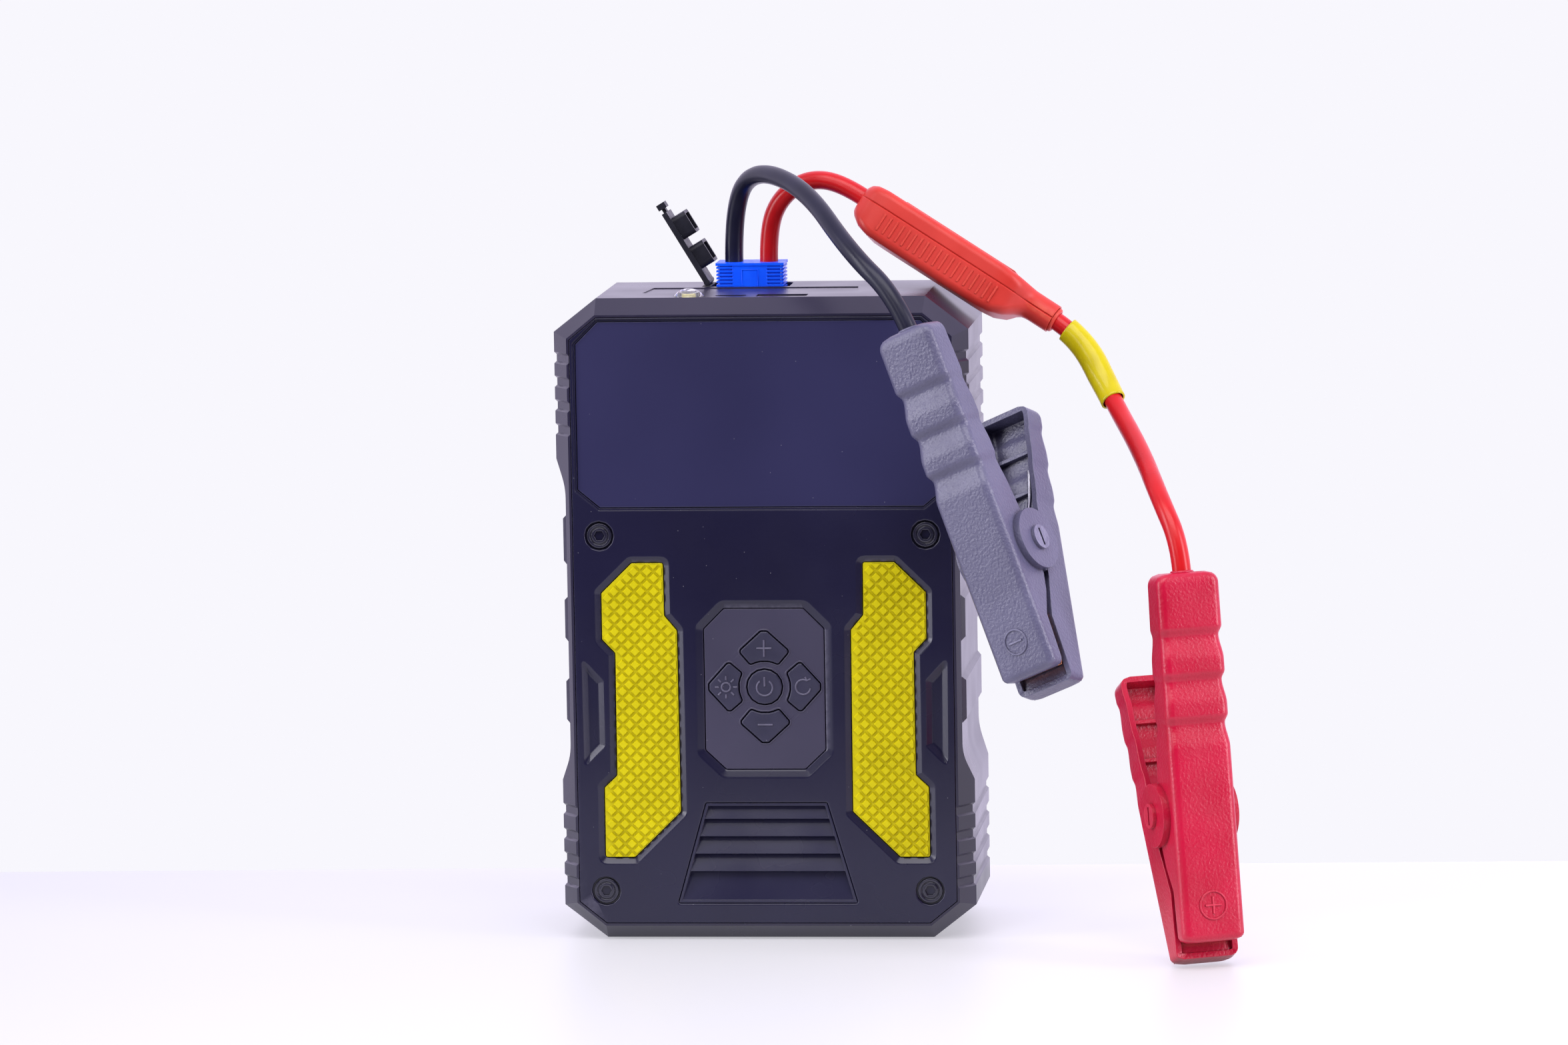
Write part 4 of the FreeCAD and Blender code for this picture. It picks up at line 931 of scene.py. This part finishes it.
def channel(ends, back, rim, sign, grooves, depth):
    """A clamp half: a channel closed at both ends, open on one side.

    Back and rim give the height of the outside and of the open edge along x. Sign is 1 where the
    back is above the rim. Grooves are the middles of the finger grooves and depth is their depth.
    """
    first, last = ends
    count = int((last - first) / CLAMP_STEP)
    outer, inner = [], []
    for k in range(count + 1):
        x = first + (last - first) * k / count
        dip = scallop(x, grooves) * depth
        turn_in = end_rounding(x - first, TAIL_RADIUS) + end_rounding(last - x, NOSE_RADIUS)
        half = CLAMP_WIDTH - 0.4 * dip - turn_in
        height = along_line(back, x) - sign * (dip + 0.5 * turn_in)
        edge = along_line(rim, x)
        outer.append([(x, y, z)
                      for y, z in arch_section(half, height, edge, CLAMP_CORNER, sign)])
        inside = min(max(x, first + CLAMP_WALL), last - CLAMP_WALL)
        inner.append([(inside, y, z) for y, z in arch_section(
            half - CLAMP_WALL, height - sign * CLAMP_WALL, edge, CLAMP_CORNER / 2, sign)])
    number = len(outer[0])
    start = len(outer) * number
    faces = []
    for k in range(count):
        for i in range(number - 1):
            a = k * number + i
            b = start + a
            faces.append((a, a + 1, a + 1 + number, a + number))
            faces.append((b, b + number, b + number + 1, b + 1))
        for i in (0, number - 1):
            a = k * number + i
            faces.append((a, a + number, start + a + number, start + a))
    for k in (0, count):
        row = list(range(k * number, (k + 1) * number))
        faces.append(tuple(row))
        faces.append(tuple(start + i for i in row))
        faces.append((row[0], start + row[0], start + row[-1], row[-1]))
    return [point for row in outer + inner for point in row], faces


def disc_with_hole(radius, hole, low, high):
    """A flat ring round the pin, from low to high along Y."""
    rings = [[(x, y, z) for x, z in ring_points(r, 40)]
             for r, y in ((hole, low), (radius, low), (radius, high), (hole, high))]
    return loft(rings + rings[:1], close_ends=False)


def build_handle(slot, place):
    """The clamp half on the wire, with a ring at each end of the pin and a boss for the wire."""
    parts = [channel(HANDLE_ENDS, HANDLE_BACK, HANDLE_RIM, 1, HANDLE_GROOVES, 1.45)]
    for side in (-1, 1):
        low, high = sorted((side * (CLAMP_WIDTH - 0.3), side * 11.7))
        parts.append(disc_with_hole(9.2, 1.0, low, high))
    boss = [[(x, y, WIRE_HEIGHT + z) for y, z in ring_points(radius, 28)]
            for x, radius in WIRE_BOSS]
    parts.append(loft(boss, close_ends=False))
    mesh_piece(slot + "_handle", slot, "lead", joined(parts), place, bevel=0.75, angle=40,
               node=slot + "_cable_half")


def build_lever(slot, place):
    """The clamp half that turns, with cheeks round the pin, a stop in its nose and two ribs."""
    parts = [channel(LEVER_ENDS, LEVER_BACK, LEVER_RIM, -1, LEVER_GROOVES, 0.6)]
    cheek = arc((0, 0), 8.2, 0, 180, 28) + [(-8.2, -8.0), (8.2, -8.0)]
    for side in (-1, 1):
        low, high = sorted((side * (CLAMP_WIDTH - CLAMP_WALL), side * (CLAMP_WIDTH - 0.15)))
        parts.append(prism(cheek, low, high, 1))
    parts.append(prism(rectangle(-8.6, -15.0, 8.6, -9.5), 35.6, 40.4, 0))
    for x in (-34.0, -22.0):
        parts.append(prism(rectangle(-7.9, -14.6, 7.9, -12.4), x, x + 1.2, 0))
    mesh_piece(slot + "_lever", slot, slot + "_jaw", joined(parts),
               place @ Matrix.Rotation(-CLAMP_OPEN, 4, "Y"), bevel=0.50, angle=40,
               node=slot + "_free_half")


MARK_X = 26.5
MARK_HEIGHT = 13.28
MARK_RADII = {"clamp_black": 3.6, "clamp_red": 4.0}


def build_mark(slot, place):
    """The raised pole sign near the clamp's nose."""
    radius = MARK_RADII[slot]
    circle = [(MARK_X + x, y, MARK_HEIGHT) for x, y in ring_points(radius, 40)]
    bead(slot + "_mark_ring", slot, "lead", [circle], 0.32, place, closed=True)
    reach = radius * 0.62
    bars = [[(MARK_X, -reach, MARK_HEIGHT), (MARK_X, reach, MARK_HEIGHT)]]
    if slot == "clamp_red":
        bars.append([(MARK_X - reach, 0, MARK_HEIGHT), (MARK_X + reach, 0, MARK_HEIGHT)])
    bead(slot + "_mark_sign", slot, "lead", bars, 0.34, place)


SPRING_WIRE = 0.65            # radius of its wire
SPRING_RADIUS = 4.6           # radius of its coil
SPRING_TURNS = 6
SPRING_PITCH = 1.55


def build_spring(slot, place):
    """A torsion spring round the pin, with one leg in each half.
    """
    half = SPRING_TURNS * SPRING_PITCH / 2 + 0.4
    steps = 26 * SPRING_TURNS
    coil = arc((0, 0), SPRING_RADIUS, 92, 250 + 360 * SPRING_TURNS, steps)
    points = [(-24.0, -half, 10.6), (-20.0, -half, 9.6)]
    points += [(x, -half + 2 * half * k / steps, z) for k, (x, z) in enumerate(coil)]
    points += [(-13.5, half, -14.8), (-21.0, half, -19.6)]
    path = round_lines("spring_path", [points], SPRING_WIRE, "spring_steel", place)
    shape = path.evaluated_get(bpy.context.evaluated_depsgraph_get())
    spring = in_scene(slot + "_coil", bpy.data.meshes.new_from_object(shape))
    bpy.data.objects.remove(path)
    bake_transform(spring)
    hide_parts(slot + "_spring")


# ---------------------------------------------------------------- the front of the case
FRONT = -31.75                # the front face
KEY_TOP = FRONT + 0.55
KEY_CENTRE = 75.4
FACE = [(48.2, 185.6), (56.7, 178.7), (56.7, 11.3), (48.2, 4.4)]
GLASS = [(47.9, 184.2), (54.9, 177.2), (54.9, 133.7), (48.0, 128.0)]
PANEL = [(11.7, 98.6), (17.7, 92.6), (17.7, 56.7), (11.7, 51.0)]
VENT = [(17.9, 40.9), (26.5, 11.2)]
GRIP = [(38.8, 112.2), (29.5, 112.2), (29.4, 96.6), (25.7, 92.2), (25.5, 38.3), (39.3, 24.8),
        (48.05, 24.8), (48.0, 45.5), (44.2, 49.1), (44.1, 85.6), (47.9, 89.6), (47.9, 103.3)]
CHEVRON = [(53.6, 83.1), (48.1, 77.1), (48.0, 58.0), (53.4, 52.6)]
SCREWS = ((-48.1, 120.4), (48.1, 120.4), (-48.0, 14.8), (48.0, 14.8))
KEY_TURNS = {"plus": 0, "light": 90, "minus": 180, "mode": 270}
POWER_RADIUS = 5.15
KEY_INNER_RADIUS = 7.8

# profiles: (how far the outline grows, depth behind the front face) from front to back
COVER_EDGE = [(-1.02, 0.0), (-0.94, 0.03), (-0.87, 0.12), (-0.85, 0.30), (-0.85, 3.0)]
GLASS_POCKET = [(0.30, 0.0), (0.22, 0.03), (0.16, 0.10), (0.12, 0.55), (-0.02, 0.62),
                (-0.40, 0.62), (-0.50, 0.66), (-0.54, 0.78), (-0.55, 2.4)]
PANEL_OPENING = [(2.75, 0.0), (2.45, 0.03), (2.10, 0.16), (0.75, 0.74), (0.35, 0.90),
                 (0.20, 1.05), (0.15, 1.3), (0.15, 3.0)]
GRIP_POCKET = [(2.2, 0.0), (1.98, 0.03), (1.75, 0.16), (0.62, 0.86), (0.35, 0.95),
               (0.20, 1.1), (0.15, 1.4), (0.15, 2.15)]
CHEVRON_POCKET = [(0.75, 0.0), (0.55, 0.03), (0.32, 0.16), (-1.10, 1.12), (-1.45, 1.22),
                  (-1.75, 1.22)]
SCREW_WELL = [(0.42, 0.0), (0.25, 0.03), (0.06, 0.16), (0.0, 0.35), (0.0, 1.2)]
VENT_OPENING = [(0.75, 0.0), (0.50, 0.04), (0.28, 0.16), (0.16, 0.40), (0.15, 3.0)]
GLASS_EDGE = [(-1.05, 0.80), (-0.86, 0.83), (-0.74, 0.92), (-0.70, 1.05), (-0.70, 2.3)]
PANEL_EDGE = [(-0.36, 0.90), (-0.16, 0.93), (-0.04, 1.02), (0.0, 1.2), (0.0, 2.4)]
KEY_HOLE = [(0.84, 0.90), (0.78, 0.86), (0.72, 0.76), (0.62, 0.71), (0.50, 0.71), (0.40, 0.76),
            (0.33, 0.88), (0.30, 1.1), (0.30, 2.4)]
KEY_EDGE = [(-0.55, 0.53), (-0.34, 0.56), (-0.14, 0.66), (-0.03, 0.82), (0.0, 1.0), (0.0, 2.6),
            (0.4, 2.65), (0.4, 3.2)]
GRIP_EDGE = [(-0.34, 0.95), (-0.14, 0.98), (-0.03, 1.08), (0.0, 1.2), (0.0, 2.1)]
SCREW_EDGE = [(-0.42, 0.40), (-0.20, 0.43), (-0.05, 0.55), (0.0, 0.75), (0.0, 2.0)]
SCREW_RING = [(0.34, 0.40), (0.26, 0.46), (0.16, 0.72), (-0.10, 0.72), (-0.20, 0.50),
              (-0.28, 0.44)]
SCREW_SOCKET = [(0.14, 0.44), (0.05, 0.48), (0.0, 0.60), (0.0, 1.9)]


def key_shapes():
    """Outlines of the keys by name: four arrows, hollowed round the power key, and that key."""
    hollow = [(x, math.sqrt(KEY_INNER_RADIUS ** 2 - x * x)) for x in (2.6, 1.2)]
    arrow = both_sides([(0.9, 16.4), (6.95, 10.9), (6.95, 10.1), (4.1, 6.75)] + hollow)
    shapes = {}
    for name, turn in KEY_TURNS.items():
        angle = math.radians(turn)
        shapes[name] = [(x * math.cos(angle) - z * math.sin(angle),
                         x * math.sin(angle) + z * math.cos(angle) + KEY_CENTRE)
                        for x, z in arrow]
    shapes["power"] = circle_outline(0, KEY_CENTRE, POWER_RADIUS, 16)
    return shapes


def build_cover():
    """The front plate, with its pockets and with openings for the key panel and the slats."""
    sheet = Sheet()
    front, back = sheet.walls(both_sides(FACE), COVER_EDGE, 1.2)
    fronts, backs = [front], [back]
    for outlines, profile, radius, through in (
            ([both_sides(GLASS)], GLASS_POCKET, 0.9, False),
            ([both_sides(PANEL)], PANEL_OPENING, 1.0, True),
            ([GRIP, mirrored(GRIP)], GRIP_POCKET, 0.8, False),
            ([CHEVRON, mirrored(CHEVRON)], CHEVRON_POCKET, 0.7, False),
            ([circle_outline(x, z, 4.3) for x, z in SCREWS], SCREW_WELL, 2.0, False),
            ([both_sides(VENT)], VENT_OPENING, 0.5, True)):
        for outline in outlines:
            first, last = sheet.walls(outline, profile, radius)
            fronts.append(first)
            if through:
                backs.append(last)
            else:
                sheet.cap(last)
    sheet.fill(fronts)
    sheet.fill(backs)
    sheet.piece("cover_plate", "cover_plastic", "case", "front_cover")


def build_glass():
    sheet = Sheet()
    sheet.plate(both_sides(GLASS), GLASS_EDGE, 0.7)
    sheet.piece("screen_window", "screen_glass", "case", "display_glass")


def build_panel():
    """The key panel, with a raised rim round each key's hole."""
    sheet = Sheet()
    ends = [sheet.walls(both_sides(PANEL), PANEL_EDGE, 0.7)]
    ends += [sheet.walls(outline, KEY_HOLE, 0.8) for outline in key_shapes().values()]
    for loops in zip(*ends):
        sheet.fill(loops)
    sheet.piece("key_panel", "panel_plastic", "case", "button_panel")


def build_screws():
    """Four round heads, each with a ring round a six-sided socket."""
    for number, (x, z) in enumerate(SCREWS, 1):
        sheet = Sheet()
        rim, back = sheet.walls(circle_outline(x, z, 3.75, 20), SCREW_EDGE, 1.0)
        ring_out, ring_in = sheet.walls(circle_outline(x, z, 2.55, 20), SCREW_RING, 1.0)
        edge, floor = sheet.walls(circle_outline(x, z, 1.55, 6), SCREW_SOCKET, 0.15)
        sheet.fill([rim, ring_out])
        sheet.fill([ring_in, edge])
        sheet.cap(floor)
        sheet.cap(back)
        sheet.piece(f"screw_head_{number}", "screw_black", "case", f"cover_screw_{number}")


STUD_PITCH = 3.95             # between studs in a row; rows are half of it apart
STUD_ROWS = 46
STUD_COLUMNS = 8
STUD_HALF = 1.62
STUD_MARGIN = 0.30            # kept free along the pad's rim
STUD_LEAST = 0.8              # area of the smallest cut stud
STUD_STATIONS = ((1.0, 0.98), (0.78, 0.42), (0.72, 0.32))   # size and depth, foot to top


def clipped(polygon, start, end, turn):
    """The part of a convex polygon on the inner side of an outline's edge."""
    along = (Vector(end) - Vector(start)).normalized()
    inward = Vector((-along.y, along.x)) * turn
    heights = [(Vector(p) - Vector(start)).dot(inward) - STUD_MARGIN for p in polygon]
    kept = []
    for k, here in enumerate(polygon):
        h, g = heights[k], heights[k - 1]
        if (h > 0) != (g > 0):
            share = g / (g - h)
            before = polygon[k - 1]
            kept.append((before[0] + (here[0] - before[0]) * share,
                         before[1] + (here[1] - before[1]) * share))
        if h > 0:
            kept.append(here)
    return kept


def near_edge(centre, start, end):
    """Distance from a point to an outline's edge."""
    along = Vector(end) - Vector(start)
    share = (Vector(centre) - Vector(start)).dot(along) / along.length_squared
    foot = Vector(start) + along * min(1.0, max(0.0, share))
    return (Vector(centre) - foot).length


def inside_outline(point, outline):
    """Whether a point is inside an outline, by counting crossings."""
    crossings = 0
    for (x0, z0), (x1, z1) in edges_of(outline):
        if (z0 > point[1]) != (z1 > point[1]):
            if point[0] < x0 + (point[1] - z0) * (x1 - x0) / (z1 - z0):
                crossings += 1
    return crossings % 2 == 1


def stud_foot(x, z, outline):
    """A square set corner up round a point, cut off along the pad's rim."""
    foot = [(x - STUD_HALF, z), (x, z - STUD_HALF), (x + STUD_HALF, z), (x, z + STUD_HALF)]
    for start, end in edges_of(outline):
        if near_edge((x, z), start, end) < STUD_HALF + STUD_MARGIN:
            foot = clipped(foot, start, end, winding(outline))
    return foot


def build_grips():
    """The rubber pads, with rows of studs."""
    for side, outline in (("right", GRIP), ("left", mirrored(GRIP))):
        sheet = Sheet()
        sheet.plate(outline, GRIP_EDGE, 0.6)
        low_x, low_z = min(x for x, z in outline), min(z for x, z in outline)
        for row in range(STUD_ROWS):
            for column in range(STUD_COLUMNS):
                x = low_x + (column + 0.5 * (row % 2)) * STUD_PITCH
                z = low_z + row * STUD_PITCH / 2
                if inside_outline((x, z), outline):
                    foot = stud_foot(x, z, outline)
                    if len(foot) > 2 and abs(area(foot)) > STUD_LEAST:
                        sheet.stud((x, z), foot)
        sheet.piece("grip_pad_" + side, "grip_rubber", "case", "grip_" + side)


def build_key_caps():
    for name, outline in key_shapes().items():
        sheet = Sheet()
        sheet.plate(outline, KEY_EDGE, 0.8)
        sheet.piece("key_" + name, "key_rubber", "button_" + name, "button_" + name)


# ---------------------------------------------------------------- signs on the keys and plug
KEY_REACH = 11.4              # from the power key's middle to another key's middle
SIGN_RADIUS = 0.28
PLUG_FRAME_BASE = 188.3


def key_sign(name, lines):
    """Raised lines on a key, from points measured upright from the key's own middle."""
    angle = math.radians(KEY_TURNS.get(name, 0))
    reach = KEY_REACH if name in KEY_TURNS else 0.0
    across, up = -reach * math.sin(angle), KEY_CENTRE + reach * math.cos(angle)
    bead("sign_" + name, "panel_plastic", "button_" + name,
         [[(across + x, KEY_TOP, up + z) for x, z in line] for line in lines], SIGN_RADIUS,
         look="sign_painted_highlight")


def build_signs():
    key_sign("plus", [[(0, -2.4), (0, 2.6)], [(-2.2, 0.1), (2.2, 0.1)]])
    key_sign("minus", [[(-2.2, 0.2), (2.2, 0.2)]])
    rays = [arc((0, 0), 1.3, 0, 360, 24)]
    for k in range(8):
        angle = math.radians(45 * k)
        rays.append([(r * math.cos(angle), r * math.sin(angle)) for r in (2.1, 3.3)])
    key_sign("light", rays)
    cycle = arc((0, 0), 2.2, 60, 350, 24)
    tip = cycle[0]
    key_sign("mode", [cycle, [(tip[0] - 0.5, tip[1] + 1.1), tip, (tip[0] + 1.15, tip[1] + 0.5)]])
    key_sign("power", [arc((0, -0.2), 2.35, 125, 415, 28), [(0, 0.2), (0, 3.0)]])


def build_plug_frame():
    """The recessed frame on the plug's flat front, drawn as a thin raised line."""
    low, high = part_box("plug_shell")
    front = low.y / MM + 0.24
    middle = (low.x + high.x) / 2 / MM
    outline = rectangle(-2.4, 1.3, 2.4, 6.6)
    bead("plug_frame_line", "plug_blue", "lead",
         [[(middle + x, front, PLUG_FRAME_BASE + z) for x, z in outline]], 0.18, closed=True)


# ---------------------------------------------------------------- put it together
add_camera()
add_stage()
add_world()
add_lights()
dress_cad_nodes()
for node, width in EDGE_WIDTHS.items():
    soften(node, width)
for node in ("clamp_black_pin", "clamp_red_pin"):
    crisp(node)

black_wire = wire("black", BLACK_ROUTE)
red_feed = wire("red", RED_FEED_ROUTE, "_feed")
red_tail = wire("red", RED_TAIL_ROUTE, "_tail")
build_sleeve()
build_module()
for colour, clamp_place in CLAMPS.items():
    for build in (build_handle, build_lever, build_mark, build_spring):
        build("clamp_" + colour, clamp_place)
build_cover()
build_glass()
build_panel()
build_screws()
build_grips()
build_key_caps()
build_signs()
build_plug_frame()
